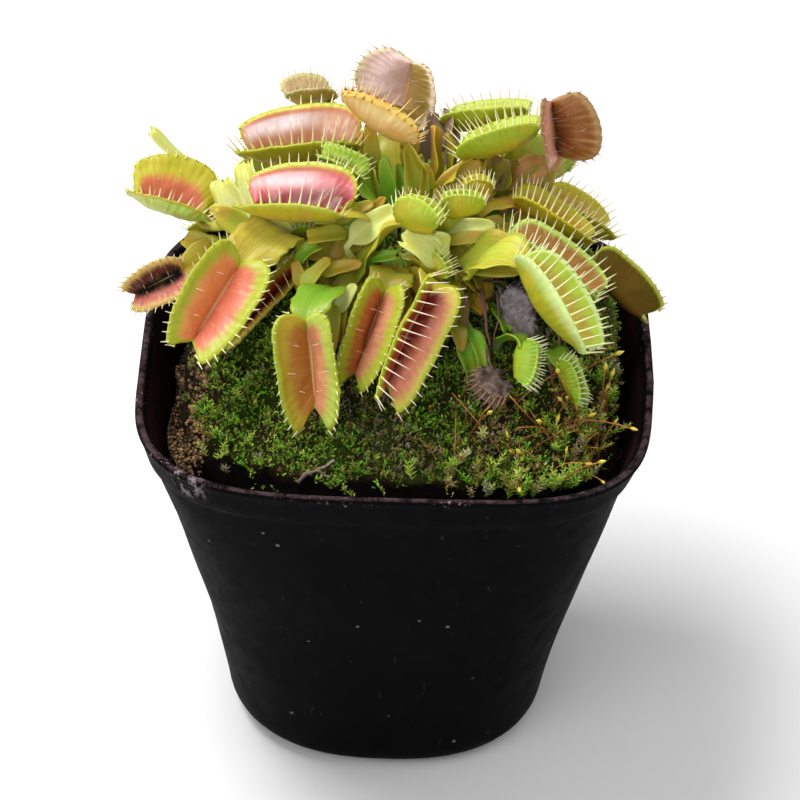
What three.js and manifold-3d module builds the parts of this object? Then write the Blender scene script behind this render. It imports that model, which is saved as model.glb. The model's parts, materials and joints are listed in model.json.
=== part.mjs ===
// Venus flytrap in a soft black nursery pot, life size, in millimetres, +Z up.
// Origin: centre of the pot's flat underside. The open stretch of moss is on the -Y side.
//
// The pot is a thin tapered shell, nearly round at the foot and square with round corners at the rim.
// Peat fills it, a cushion of moss lies on the peat, and each leaf stands in its own hole in the moss.
// A leaf is one thin body: a winged stalk narrows to a neck, and past it two lobes are hinged on a
// midrib, each with a row of teeth along its margin.
import * as THREE from "three";
import Module from "manifold-3d";

const wasm = await Module();
wasm.setup();

const GAP = 0.3;

// Pot
const POT = {
  height: 72,
  rimHalf: 45,
  rimSquareness: 4,
  footHalf: 29,
  footSquareness: 2.4,
  flare: 1.24,
  footRound: 5,
  wall: 1.2,
  floor: 2,
  bandHeight: 7,
  bandProud: 0.6,
  outerRings: [0, 1.4, 5, 20, 38, 54],
  innerRings: [54, 30, 7],
  sides: 32,
};
const DRAIN = { count: 5, ring: 17, radius: 3, past: 1, sides: 8 };

// Peat and moss
const PEAT_TOP = 59;
const PEAT_RINGS = [30, 48, PEAT_TOP];
const CLUMP = { broad: 0.9, fine: 0.6 };
const MOSS = {
  centre: [1, 1.5],
  half: [38.5, 35],
  squareness: 3.6,
  frontHeight: 7.5,
  backHeight: 27,
  riseStart: -30,
  riseEnd: 16,
  backDrop: 4,
  edgeHeight: 2,
  shoulder: 7,
  rings: 7,
  sides: 28,
};

// Leaves
const BLADE = 0.7;
const STALK = {
  foot: 1,
  neck: 0.75,
  edge: 0.66,
  keel: 1.7,
  fold: 0.16,
  buried: 3,
  ledge: 1,
  past: 1,
  lean: 0.2,
  approach: 0.22,
  widestLate: 1.4,
  fullness: 0.8,
  rungs: 5,
};
const SOCKET = { radius: 1.6, sides: 6 };
const MIDRIB_BOW = 0.08;
const TOOTH_FAN = 0.9;

// One lobe laid flat, from the neck round to the tip: x along the midrib as a share of its length,
// y outward as a share of the lobe's width
const LOBE_OUTLINE = [
  [0, 0],
  [-0.1, 0.26],
  [-0.11, 0.54],
  [0.02, 0.84],
  [0.3, 1],
  [0.62, 0.99],
  [0.9, 0.84],
  [1.13, 0.56],
  [1.12, 0.3],
  [1, 0],
];

const LOOKS = {
  plastic: { color: 0x1a1a1b, roughness: 0.5 },
  peat: { color: 0x2b2019, roughness: 1 },
  moss: { color: 0x4f6b24, roughness: 1 },
  lime: { color: 0xb5c93a, roughness: 0.45 },
  green: { color: 0x86b52c, roughness: 0.45 },
  amber: { color: 0xc79a3a, roughness: 0.5 },
  rust: { color: 0x8a4f2c, roughness: 0.6 },
  dead: { color: 0x5a524c, roughness: 0.9 },
};

// Every leaf. It stands at foot and its midrib runs from neck to tip, in mm. lift is how far the stalk
// first rises. roll turns the mouth about the midrib, gape is the angle between the lobes' margins, curl
// bends each lobe inward and twist turns the stalk's flat face at its foot, all in degrees. lobe, tooth and
// wing are the lobe's width, the teeth's length and the stalk's full width in mm.
const LEAVES = [
  { name: "leaf_left_front", foot: [-16.5, 6], neck: [-27.5, -4, 91.5], tip: [-35, -15, 82.5],
    roll: -31, gape: 91, curl: 14, lobe: 8.5, tooth: 3, teeth: 9, wing: 10, lift: 15, look: "lime" },
  { name: "leaf_left_inner", foot: [-15.5, -3], neck: [-18, 3, 86], tip: [-28, -5, 77.5],
    roll: -32, gape: 40, curl: 22, lobe: 5.2, tooth: 3, teeth: 8, wing: 4, lift: 4, look: "rust" },
  { name: "leaf_front_hanging", foot: [-9.5, 0.5], neck: [-15.5, -17, 89], tip: [-13.5, -22.5, 75],
    roll: 27, gape: 79, curl: 26, lobe: 8, tooth: 1.8, teeth: 9, wing: 8, lift: 9, look: "lime" },
  { name: "leaf_front_centre", foot: [1, 1.5], neck: [-2.5, -5, 87.5], tip: [-7, -14, 76.5],
    roll: -23, gape: 66, curl: 11, lobe: 7, tooth: 2.5, teeth: 9, wing: 8, lift: 10, look: "amber" },
  { name: "leaf_front_toothed", foot: [8.5, 0.5], neck: [5.5, -9.5, 91], tip: [-1.5, -21, 79],
    roll: -55, gape: 74, curl: 25, lobe: 7, tooth: 5, teeth: 9, wing: 8, lift: 8, look: "lime" },
  { name: "leaf_right_front", foot: [10.5, 3.5], neck: [21, -10, 96.5], tip: [30.5, -18.5, 87],
    roll: -32, gape: 100, curl: 45, lobe: 10.5, tooth: 5.5, teeth: 10, wing: 12, twist: 40, lift: 10,
    look: "green" },
  { name: "leaf_right_upper", foot: [15.5, 9], neck: [19, 5.5, 90.5], tip: [32, 0, 84.5],
    roll: -15, gape: 76, curl: 36, lobe: 9, tooth: 5, teeth: 10, wing: 7, lift: 7, look: "lime" },
  { name: "leaf_right_edge", foot: [20.5, 13.5], neck: [34, 8, 85.5], tip: [43, 4.5, 78.5],
    roll: -93, gape: 67, curl: 24, lobe: 6.5, tooth: 2.4, teeth: 9, wing: 4, lift: 5, look: "rust" },
  { name: "leaf_right_back", foot: [12.5, 14.5], neck: [20.5, 17, 92.5], tip: [31.5, 14.5, 87],
    roll: -15, gape: 87, curl: 34, lobe: 6.5, tooth: 4, teeth: 9, wing: 5, lift: 8, look: "amber" },
  { name: "leaf_grey_dead", foot: [18.5, 1.5], neck: [18, -3, 86.5], tip: [21, -7, 80],
    roll: -57, gape: 41, curl: 40, lobe: 5.5, tooth: 1.8, teeth: 7, wing: 3, lift: 3, look: "dead" },
  { name: "leaf_small_low", foot: [17.5, -5], neck: [21.5, -15, 84.5], tip: [21, -18.5, 79.5],
    roll: -78, gape: 16, curl: 39, lobe: 4, tooth: 2.6, teeth: 6, wing: 4, lift: 3, look: "green" },
  { name: "leaf_small_right", foot: [26.5, -8], neck: [28, -14.5, 80.5], tip: [30.5, -17, 75],
    roll: -11, gape: 15, curl: 38, lobe: 4, tooth: 2, teeth: 6, wing: 4, lift: 4, look: "green" },
  { name: "leaf_brown_dead", foot: [13, -4], neck: [16, -12.5, 77.5], tip: [19.5, -15.5, 75],
    roll: 110, gape: 40, curl: 30, lobe: 5, tooth: 2.6, teeth: 6, wing: 3, lift: 2, look: "dead" },
  { name: "leaf_left_pink", foot: [-5.5, 14], neck: [-10.5, 2.5, 99], tip: [-25.5, 6, 97.5],
    roll: 2, gape: 101, curl: 45, lobe: 10.5, tooth: 4.5, teeth: 10, wing: 6, lift: 10, look: "amber" },
  { name: "leaf_back_pink", foot: [-6.5, 21.5], neck: [-9.5, 24, 98], tip: [-26.5, 24, 96],
    roll: 2, gape: 86, curl: 22, lobe: 10.5, tooth: 5, teeth: 10, wing: 8, lift: 8, look: "lime" },
  { name: "leaf_centre_orange", foot: [1.5, 18.5], neck: [0.5, 16.5, 105], tip: [-10, 19, 110.5],
    roll: 29, gape: 103, curl: 43, lobe: 8, tooth: 3.5, teeth: 7, wing: 8, lift: 10, look: "amber" },
  { name: "leaf_back_top", foot: [0, 27.5], neck: [-0.5, 38, 99.5], tip: [1, 39, 108],
    roll: 19, gape: 123, curl: 14, lobe: 10, tooth: 2.5, teeth: 8, wing: 9, lift: 8, look: "amber" },
  { name: "leaf_back_left_top", foot: [-5, 27], neck: [-14, 38, 100], tip: [-21, 36.5, 101],
    roll: 14, gape: 96, curl: 25, lobe: 6.5, tooth: 2.5, teeth: 7, wing: 8, lift: 8, look: "amber" },
  { name: "leaf_back_right", foot: [5, 19.5], neck: [11.5, 20, 100], tip: [22.5, 20.5, 105],
    roll: -22, gape: 85, curl: 44, lobe: 7, tooth: 4, teeth: 8, wing: 9, lift: 8, look: "lime" },
  { name: "leaf_back_right_high", foot: [7, 24.5], neck: [8.5, 31.5, 99], tip: [20.5, 30, 102.5],
    roll: -20, gape: 83, curl: 37, lobe: 6.5, tooth: 3, teeth: 7, wing: 6, lift: 8, look: "lime" },
  { name: "leaf_back_right_brown", foot: [11, 23.5], neck: [27, 24.5, 98.5], tip: [25.5, 27, 108],
    roll: -2, gape: 71, curl: 21, lobe: 9.5, tooth: 2, teeth: 7, wing: 6, lift: 11, look: "rust" },
  { name: "leaf_left_back", foot: [-16.5, 12.5], neck: [-35, 9.5, 92], tip: [-46.5, 10.5, 95.5],
    roll: 0, gape: 89, curl: 24, lobe: 10.5, tooth: 2.2, teeth: 8, wing: 10, lift: 8, look: "green" },
  { name: "leaf_left_edge", foot: [-18.5, 8.5], neck: [-37.5, -2, 88.5], tip: [-45.5, -3, 84],
    roll: -63, gape: 80, curl: 8, lobe: 5.5, tooth: 2.5, teeth: 7, wing: 9, lift: 3, look: "lime" },
  { name: "leaf_young_centre", foot: [-9, 2.5], neck: [-0.5, 0.5, 98.5], tip: [5.5, -2, 98.5],
    roll: -20, gape: 22, curl: 38, lobe: 6, tooth: 2.4, teeth: 6, wing: 8, twist: 40, lift: 4,
    look: "lime" },
  { name: "leaf_young_back", foot: [-2.5, 16.5], neck: [-7.5, 14, 99], tip: [-14, 15.5, 101.5],
    roll: -13, gape: 58, curl: 31, lobe: 4, tooth: 2.2, teeth: 6, wing: 8, lift: 6, look: "green" },
  { name: "leaf_young_right", foot: [9.5, 9.5], neck: [7.5, 4, 98.5], tip: [13.5, 4.5, 99],
    roll: -15, gape: 30, curl: 36, lobe: 4.2, tooth: 2.6, teeth: 7, wing: 8, lift: 6, look: "lime" },
  { name: "leaf_young_back_right", foot: [8, 15], neck: [11.5, 12, 96.5], tip: [15.5, 12.5, 97.5],
    roll: -15, gape: 30, curl: 36, lobe: 4.2, tooth: 2.2, teeth: 6, wing: 7, lift: 6, look: "green" },
  { name: "leaf_young_front", foot: [4.5, 5], neck: [3, 0, 91.5], tip: [7, -2.5, 89],
    roll: -25, gape: 24, curl: 38, lobe: 4.2, tooth: 2.6, teeth: 6, wing: 5, lift: 4, look: "green" },
  { name: "leaf_rear_left", foot: [-5, 31], neck: [-17, 35, 88], tip: [-26, 40, 81],
    roll: 20, gape: 80, curl: 18, lobe: 8, tooth: 3, teeth: 8, wing: 9, lift: 6, look: "lime" },
  { name: "leaf_rear_hanging", foot: [0, 31.5], neck: [2, 39, 88], tip: [3, 45, 77],
    roll: 0, gape: 90, curl: 14, lobe: 8, tooth: 3, teeth: 9, wing: 9, lift: 8, look: "lime" },
  { name: "leaf_rear_right", foot: [5, 30], neck: [18, 35, 91], tip: [27, 40, 84],
    roll: -20, gape: 36, curl: 36, lobe: 8, tooth: 4.5, teeth: 8, wing: 8, lift: 8, look: "green" },
  { name: "leaf_side_left", foot: [-13.5, 16.5], neck: [-26, 25, 84], tip: [-35, 28, 78],
    roll: -10, gape: 60, curl: 26, lobe: 6.5, tooth: 3, teeth: 7, wing: 9, lift: 5, look: "green" },
  { name: "leaf_side_right", foot: [10, 27], neck: [26, 26, 86], tip: [35, 29, 79],
    roll: 10, gape: 60, curl: 26, lobe: 7, tooth: 3, teeth: 7, wing: 7, lift: 5, look: "amber" },
  { name: "leaf_young_left", foot: [-13, 6.5], neck: [-15.5, 8, 91], tip: [-18.5, 8, 90.5],
    roll: -10, gape: 30, curl: 36, lobe: 3, tooth: 1.6, teeth: 6, wing: 6, lift: 6, look: "green" },
];

const radians = THREE.MathUtils.degToRad;
const UP = new THREE.Vector3(0, 0, 1);

// Signed power, for rounded squares
function softPower(value, exponent) {
  return Math.sign(value) * Math.abs(value) ** exponent;
}

// Points round a rounded square at height z. A squareness of 2 gives a circle.
function roundedSquare(halfX, halfY, squareness, z, sides, centre = [0, 0]) {
  const points = [];
  for (let i = 0; i < sides; i += 1) {
    const angle = (2 * Math.PI * (i + 0.5)) / sides;
    const x = centre[0] + halfX * softPower(Math.cos(angle), 2 / squareness);
    const y = centre[1] + halfY * softPower(Math.sin(angle), 2 / squareness);
    points.push(new THREE.Vector3(x, y, z));
  }
  return points;
}

// Closed body from rings of equal length, the first and the last closed by a fan to their middle
function stackRings(rings) {
  const count = rings[0].length;
  const points = rings.flat();
  const faces = [];
  for (let r = 0; r + 1 < rings.length; r += 1) {
    for (let i = 0; i < count; i += 1) {
      const a = r * count + i;
      const b = r * count + ((i + 1) % count);
      faces.push([a, b, b + count], [a, b + count, a + count]);
    }
  }
  const last = (rings.length - 1) * count;
  const bottom = points.push(middle(rings[0])) - 1;
  const top = points.push(middle(rings.at(-1))) - 1;
  for (let i = 0; i < count; i += 1) {
    const next = (i + 1) % count;
    faces.push([bottom, next, i], [top, last + i, last + next]);
  }
  return solid(points, faces);
}

function middle(points) {
  const sum = new THREE.Vector3();
  for (const point of points) {
    sum.add(point);
  }
  return sum.divideScalar(points.length);
}

function solid(points, faces) {
  const vertProperties = new Float32Array(points.flatMap((point) => point.toArray()));
  const triVerts = new Uint32Array(faces.flat());
  return new wasm.Manifold(new wasm.Mesh({ numProp: 3, vertProperties, triVerts }));
}

function meshOf(name, body, look) {
  const { vertProperties, triVerts } = body.getMesh();
  const geometry = new THREE.BufferGeometry();
  geometry.setAttribute("position", new THREE.BufferAttribute(vertProperties, 3));
  geometry.setIndex(new THREE.BufferAttribute(triVerts, 1));
  geometry.computeVertexNormals();
  const mesh = new THREE.Mesh(geometry, new THREE.MeshStandardMaterial(LOOKS[look]));
  mesh.name = name;
  return mesh;
}

// Upright prism used as a cutter
function plug(x, y, radius, bottom, top, sides) {
  const centre = [x, y];
  return stackRings([
    roundedSquare(radius, radius, 2, bottom, sides, centre),
    roundedSquare(radius, radius, 2, top, sides, centre),
  ]);
}

// The pot's wall at height z, moved inward by inset
function potRing(z, inset, sides = POT.sides) {
  const share = (Math.max(z, 0) / POT.height) ** POT.flare;
  const round = Math.max(POT.footRound - z, 0);
  const tuck = POT.footRound - Math.sqrt(POT.footRound ** 2 - round ** 2);
  const half = POT.footHalf + (POT.rimHalf - POT.footHalf) * share - tuck - inset;
  const squareness = POT.footSquareness + (POT.rimSquareness - POT.footSquareness) * share;
  return roundedSquare(half, half, squareness, z, sides);
}

function pot() {
  const bandBottom = POT.height - POT.bandHeight;
  const rings = POT.outerRings.map((z) => potRing(z, POT.bandProud));
  rings.push(potRing(bandBottom, POT.bandProud));
  rings.push(potRing(bandBottom + POT.bandProud, 0));
  rings.push(potRing(POT.height, 0));
  rings.push(potRing(POT.height, POT.wall + POT.bandProud));
  for (const z of POT.innerRings) {
    rings.push(potRing(z, POT.wall + POT.bandProud));
  }
  const floorRing = potRing(POT.footRound, POT.wall + POT.bandProud + POT.floor);
  rings.push(floorRing.map((point) => point.setZ(POT.floor)));
  let shell = stackRings(rings);
  for (let i = 0; i < DRAIN.count; i += 1) {
    const angle = (2 * Math.PI * i) / DRAIN.count;
    const x = DRAIN.ring * Math.cos(angle);
    const y = DRAIN.ring * Math.sin(angle);
    shell = shell.subtract(plug(x, y, DRAIN.radius, -DRAIN.past, POT.floor + DRAIN.past, DRAIN.sides));
  }
  return shell;
}

function peat() {
  const inset = POT.wall + POT.bandProud + GAP;
  const bottom = POT.footRound + POT.floor + GAP;
  const base = potRing(POT.footRound, inset + POT.floor).map((point) => point.setZ(POT.floor + GAP));
  const rings = [base];
  for (const z of [bottom, ...PEAT_RINGS]) {
    rings.push(potRing(z, inset));
  }
  return stackRings(rings);
}

// Height of the moss above the peat, without its rounded edge: a rise towards the plant, a slight fall
// behind it, and two waves of clumps
function mossRelief(x, y) {
  const rise = THREE.MathUtils.smoothstep(y, MOSS.riseStart, MOSS.riseEnd);
  const back = THREE.MathUtils.smoothstep(y, MOSS.riseEnd, MOSS.half[1]);
  const broad = CLUMP.broad * Math.sin(0.42 * x + 0.6) * Math.cos(0.37 * y);
  const fine = CLUMP.fine * Math.sin(0.8 * x - 0.66 * y);
  const slope = MOSS.frontHeight + (MOSS.backHeight - MOSS.frontHeight) * rise - MOSS.backDrop * back;
  return slope + broad + fine;
}

// share runs from 0 in the middle of the moss to 1 at its edge
function mossTop(x, y, share) {
  const rounded = Math.sqrt(1 - share ** MOSS.shoulder);
  return PEAT_TOP + GAP + MOSS.edgeHeight + (mossRelief(x, y) - MOSS.edgeHeight) * rounded;
}

function mossShare(x, y) {
  const across = Math.abs((x - MOSS.centre[0]) / MOSS.half[0]) ** MOSS.squareness;
  const along = Math.abs((y - MOSS.centre[1]) / MOSS.half[1]) ** MOSS.squareness;
  return (across + along) ** (1 / MOSS.squareness);
}

function mossSurface(x, y) {
  return mossTop(x, y, mossShare(x, y));
}

function moss() {
  const rings = [roundedSquare(...MOSS.half, MOSS.squareness, PEAT_TOP + GAP, MOSS.sides, MOSS.centre)];
  for (let r = 0; r < MOSS.rings; r += 1) {
    const share = Math.sin((Math.PI / 2) * (1 - r / MOSS.rings));
    const half = MOSS.half.map((value) => value * share);
    const ring = roundedSquare(...half, MOSS.squareness, 0, MOSS.sides, MOSS.centre);
    rings.push(ring.map((point) => point.setZ(mossTop(point.x, point.y, share))));
  }
  let cushion = stackRings(rings);
  for (const leaf of LEAVES) {
    const foot = footOf(leaf);
    const bottom = foot.z - STALK.buried - GAP;
    const top = foot.z + MOSS.backHeight;
    cushion = cushion.subtract(plug(foot.x, foot.y, SOCKET.radius, bottom, top, SOCKET.sides));
  }
  return cushion;
}

// Where a leaf's stalk leaves the moss
function footOf(leaf) {
  const [x, y] = leaf.foot;
  return new THREE.Vector3(x, y, mossSurface(x, y));
}

// The trap's own axes: along its midrib, out of its mouth, and sideways
function trapAxes(leaf) {
  const neck = new THREE.Vector3(...leaf.neck);
  const along = new THREE.Vector3(...leaf.tip).sub(neck);
  const length = along.length();
  along.normalize();
  const level = UP.clone().addScaledVector(along, -along.z).normalize();
  const mouth = level.clone().applyAxisAngle(along, radians(leaf.roll));
  const side = along.clone().cross(mouth);
  return { neck, along, mouth, side, length };
}

// A point of one lobe's middle surface, x along the midrib and y outward over the lobe, both in mm.
// hand is 1 or -1, and inner is the unit vector into the trap there.
function lobePoint(leaf, axes, hand, x, y) {
  const curl = radians(leaf.curl);
  const root = radians(leaf.gape) / 2 + curl;
  const bend = (-2 * curl) / leaf.lobe;
  const angle = root + bend * y;
  const rise = (Math.sin(angle) - Math.sin(root)) / bend;
  const spread = (Math.cos(root) - Math.cos(angle)) / bend;
  const bow = MIDRIB_BOW * axes.length * ((2 * x) / axes.length - 1) ** 2 - MIDRIB_BOW * axes.length;
  const point = axes.neck.clone();
  point.addScaledVector(axes.along, x);
  point.addScaledVector(axes.mouth, rise + bow);
  point.addScaledVector(axes.side, hand * spread);
  const inner = axes.mouth.clone().multiplyScalar(Math.sin(angle));
  inner.addScaledVector(axes.side, -hand * Math.cos(angle));
  const outward = axes.mouth.clone().multiplyScalar(Math.cos(angle));
  outward.addScaledVector(axes.side, hand * Math.sin(angle));
  return { point, inner, outward, root };
}

// One lobe with its teeth: a thin shell with rows at the midrib, halfway out and at the margin
function lobe(leaf, axes, hand) {
  const rungs = leaf.teeth + 2;
  const spline = new THREE.SplineCurve(
    LOBE_OUTLINE.map(([x, y]) => new THREE.Vector2(x * axes.length, y * leaf.lobe)),
  );
  const margin = spline.getSpacedPoints(2 * rungs);
  const points = [];
  const addPair = (x, y, onMidrib) => {
    const { point, inner, root } = lobePoint(leaf, axes, hand, x, y);
    const offset = onMidrib ? axes.mouth.clone().divideScalar(Math.sin(root)) : inner;
    points.push(point.clone().addScaledVector(offset, BLADE / 2));
    points.push(point.clone().addScaledVector(offset, -BLADE / 2));
    return points.length - 2;
  };
  const root = [];
  for (let i = 0; i <= rungs; i += 1) {
    root.push(addPair((axes.length * i) / rungs, 0, true));
  }
  const half = [root[0]];
  for (let i = 1; i < rungs; i += 1) {
    const edge = margin[2 * i];
    const x = THREE.MathUtils.lerp((axes.length * i) / rungs, edge.x, 0.5);
    half.push(addPair(x, edge.y / 2, false));
  }
  half.push(root.at(-1));
  const edge = [root[0]];
  for (let i = 1; i < 2 * rungs; i += 1) {
    edge.push(addPair(margin[i].x, margin[i].y, false));
  }
  edge.push(root.at(-1));

  const faces = [];
  const addFace = (a, b, c) => {
    if (a === b || b === c || c === a) {
      return;
    }
    faces.push([a, b, c], [a + 1, c + 1, b + 1]);
  };
  for (let i = 0; i < rungs; i += 1) {
    addFace(root[i], root[i + 1], half[i + 1]);
    addFace(root[i], half[i + 1], half[i]);
    addFace(half[i], edge[2 * i + 1], edge[2 * i]);
    addFace(half[i], half[i + 1], edge[2 * i + 1]);
    addFace(half[i + 1], edge[2 * i + 2], edge[2 * i + 1]);
    faces.push([root[i], root[i] + 1, root[i + 1] + 1], [root[i], root[i + 1] + 1, root[i + 1]]);
  }
  const firstTooth = hand > 0 ? 2 : 3;
  for (let i = 0; i < 2 * rungs; i += 1) {
    const a = edge[i];
    const b = edge[i + 1];
    const hasTooth = i >= firstTooth && i < firstTooth + 2 * leaf.teeth - 1 && (i - firstTooth) % 2 === 0;
    if (hasTooth) {
      const foot = margin[i].clone().add(margin[i + 1]).divideScalar(2);
      const { point, outward } = lobePoint(leaf, axes, hand, foot.x, foot.y);
      const direction = toothDirection(axes, foot.x, outward);
      const tip = points.push(point.clone().addScaledVector(direction, leaf.tooth)) - 1;
      faces.push([a, b, tip], [b, b + 1, tip], [b + 1, a + 1, tip], [a + 1, a, tip]);
    } else {
      faces.push([a, b, b + 1], [a, b + 1, a + 1]);
    }
  }
  if (hand < 0) {
    return solid(points, faces);
  }
  return solid(points, faces.map(([a, b, c]) => [a, c, b]));
}

// Teeth stand square to the margin in the middle of a lobe and fan out toward its ends
function toothDirection(axes, x, outward) {
  const fan = TOOTH_FAN * (x / axes.length - 0.5);
  return outward.clone().addScaledVector(axes.along, fan).normalize();
}

// Winged stalk from its socket in the moss to just past the neck
function stalk(leaf, axes) {
  const foot = footOf(leaf);
  const buried = foot.clone().addScaledVector(UP, -STALK.buried);
  const start = foot.clone().addScaledVector(UP, STALK.ledge);
  const reach = axes.neck.clone().sub(start);
  const level = new THREE.Vector3(reach.x, reach.y, 0);
  const first = start.clone().addScaledVector(level, STALK.lean).addScaledVector(UP, leaf.lift);
  const second = axes.neck.clone().addScaledVector(axes.along, -STALK.approach * reach.length());
  const end = axes.neck.clone().addScaledVector(axes.along, STALK.past);
  const path = new THREE.CubicBezierCurve3(start, first, second, end);
  const flat = level.clone().cross(UP).normalize();
  const rings = [stalkRing(buried, UP, flat, STALK.foot)];
  for (let i = 0; i <= STALK.rungs; i += 1) {
    const t = i / STALK.rungs;
    const isEnd = i === 0 || i === STALK.rungs;
    const swell = isEnd ? 0 : Math.sin(Math.PI * t ** STALK.widestLate) ** STALK.fullness;
    const base = THREE.MathUtils.lerp(STALK.foot, STALK.neck, t);
    const half = base + Math.max(leaf.wing / 2 - base, 0) * swell;
    const tangent = path.getTangent(t);
    const across = flat.clone().applyAxisAngle(tangent, radians(leaf.twist ?? 0)).lerp(axes.side, t);
    rings.push(stalkRing(path.getPoint(t), tangent, across, half));
  }
  return stackRings(rings);
}

// Six points round the stalk: two thin edges and a keel between them
function stalkRing(centre, tangent, across, half) {
  const side = across.clone().addScaledVector(tangent, -across.dot(tangent)).normalize();
  const normal = side.clone().cross(tangent);
  const place = (u, v) => centre.clone().addScaledVector(side, u).addScaledVector(normal, v);
  const dip = STALK.fold * (half - STALK.neck);
  const edge = STALK.edge / 2;
  const keel = STALK.keel / 2;
  return [place(0, -keel - dip), place(-half, -edge), place(-half, edge), place(0, edge - dip),
    place(half, edge), place(half, -edge)];
}

function leafBody(leaf) {
  const axes = trapAxes(leaf);
  return lobe(leaf, axes, 1).add(lobe(leaf, axes, -1)).add(stalk(leaf, axes));
}

const plant = new THREE.Group();
plant.add(meshOf("pot", pot(), "plastic"));
plant.add(meshOf("peat", peat(), "peat"));
plant.add(meshOf("moss", moss(), "moss"));
for (const leaf of LEAVES) {
  plant.add(meshOf(leaf.name, leafBody(leaf), leaf.look));
}

export default plant;
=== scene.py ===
# Venus flytrap in a soft black nursery pot, dressed with its fine surfaces.
# Sizes and places are millimetres, and meshes are written in metres, +Z up, in the frame of the solids.
#
# The pot is a thin satin shell with a worn rim. Peat shows in the gap round a cushion of moss, and brown soil
# is heaped against the left wall. The moss carries thousands of small shoots, taller stems with spore stalks
# among them, some litter and the plant. Each leaf is a winged stalk with two lobes on a midrib, a row of
# tapered teeth on each margin and three trigger hairs on each lobe. Short blades fill the crown.
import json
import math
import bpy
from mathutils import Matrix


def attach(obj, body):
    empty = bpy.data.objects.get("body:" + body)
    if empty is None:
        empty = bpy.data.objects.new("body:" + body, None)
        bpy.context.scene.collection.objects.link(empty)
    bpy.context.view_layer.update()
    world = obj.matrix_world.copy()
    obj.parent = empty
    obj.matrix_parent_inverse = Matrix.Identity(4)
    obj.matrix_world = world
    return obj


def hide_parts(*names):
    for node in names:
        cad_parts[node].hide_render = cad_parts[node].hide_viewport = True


bl_info = {
    "name": "Potted flytrap",
    "version": (1, 0, 0),
    "blender": (4, 5, 0),
    "location": "3D View > Sidebar > Flytrap",
    "description": "Dresses a venus flytrap in a nursery pot, piece by piece",
    "category": "Add Mesh",
}

from itertools import combinations
from types import SimpleNamespace

import bpy
import numpy as np
from mathutils import Matrix
from mathutils.kdtree import KDTree

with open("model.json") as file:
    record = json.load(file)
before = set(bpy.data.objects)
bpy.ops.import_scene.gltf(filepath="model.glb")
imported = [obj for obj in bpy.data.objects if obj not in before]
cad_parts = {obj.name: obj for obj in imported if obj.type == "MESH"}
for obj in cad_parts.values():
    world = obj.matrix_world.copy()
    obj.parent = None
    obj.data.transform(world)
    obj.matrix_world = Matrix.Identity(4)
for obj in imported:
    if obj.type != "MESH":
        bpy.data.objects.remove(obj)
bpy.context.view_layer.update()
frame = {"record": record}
BODY = "root"
MM = 0.001
UP = np.array([0.0, 0.0, 1.0])
FLAT = np.array([1.0, 1.0, 0.0])

# Pot: the squareness of a ring runs from 2, a circle, toward a square
POT_HEIGHT = 72.0
POT_RIM_HALF = 45.0
POT_FOOT_HALF = 29.0
POT_RIM_SQUARENESS = 4.0
POT_FOOT_SQUARENESS = 2.4
POT_FLARE = 1.24
POT_FOOT_ROUND = 5.0
POT_BAND_PROUD = 0.6
POT_WALL = 1.2
POT_FLOOR = 2.0
POT_BAND_HEIGHT = 7.0
DRAIN_COUNT = 5
DRAIN_RING = 17.0
DRAIN_RADIUS = 3.0
DRAIN_SIDES = 24

# Peat and moss: heights of the moss are above the peat, and it rises between two places along y
PEAT_TOP = 59.0
GAP = 0.3
MOSS_CENTRE = np.array([1.0, 1.5])
MOSS_HALF = np.array([38.5, 35.0])
MOSS_SQUARENESS = 3.6
MOSS_FRONT_HEIGHT = 7.5
MOSS_BACK_HEIGHT = 27.0
MOSS_RISE = (-30.0, 16.0)
MOSS_BACK_DROP = 4.0
MOSS_EDGE_HEIGHT = 2.0
MOSS_SHOULDER = 7.0

# Leaves: half widths and depths of the stalk, and shares of its length or of the midrib's
STALK_FOOT = 1.0
STALK_NECK = 0.75
STALK_FOLD = 0.16
STALK_BURIED = 3.0
STALK_LEDGE = 1.0
STALK_PAST = 1.0
STALK_LEAN = 0.2
STALK_APPROACH = 0.22
MIDRIB_BOW = 0.08
TOOTH_FAN = 0.9
USUAL_LEAN = (0.25, 0.25)
USUAL_COMB = (0.8, 0.8)

# One lobe laid flat, from the neck round to the tip, in shares of the midrib's length and the lobe's width
LOBE_OUTLINE = (
    (0, 0),
    (-0.1, 0.26),
    (-0.11, 0.54),
    (0.02, 0.84),
    (0.3, 1),
    (0.62, 0.99),
    (0.9, 0.84),
    (1.13, 0.56),
    (1.12, 0.3),
    (1, 0),
)

# How far each place of the outline moves on a lobe with a pointed far end
LOBE_POINT = (
    (0, 0),
    (0, 0),
    (0, 0),
    (0, 0),
    (0.02, -0.02),
    (0.06, -0.03),
    (0.12, -0.08),
    (0.12, -0.14),
    (0.0, -0.1),
    (0, 0),
)


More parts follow.
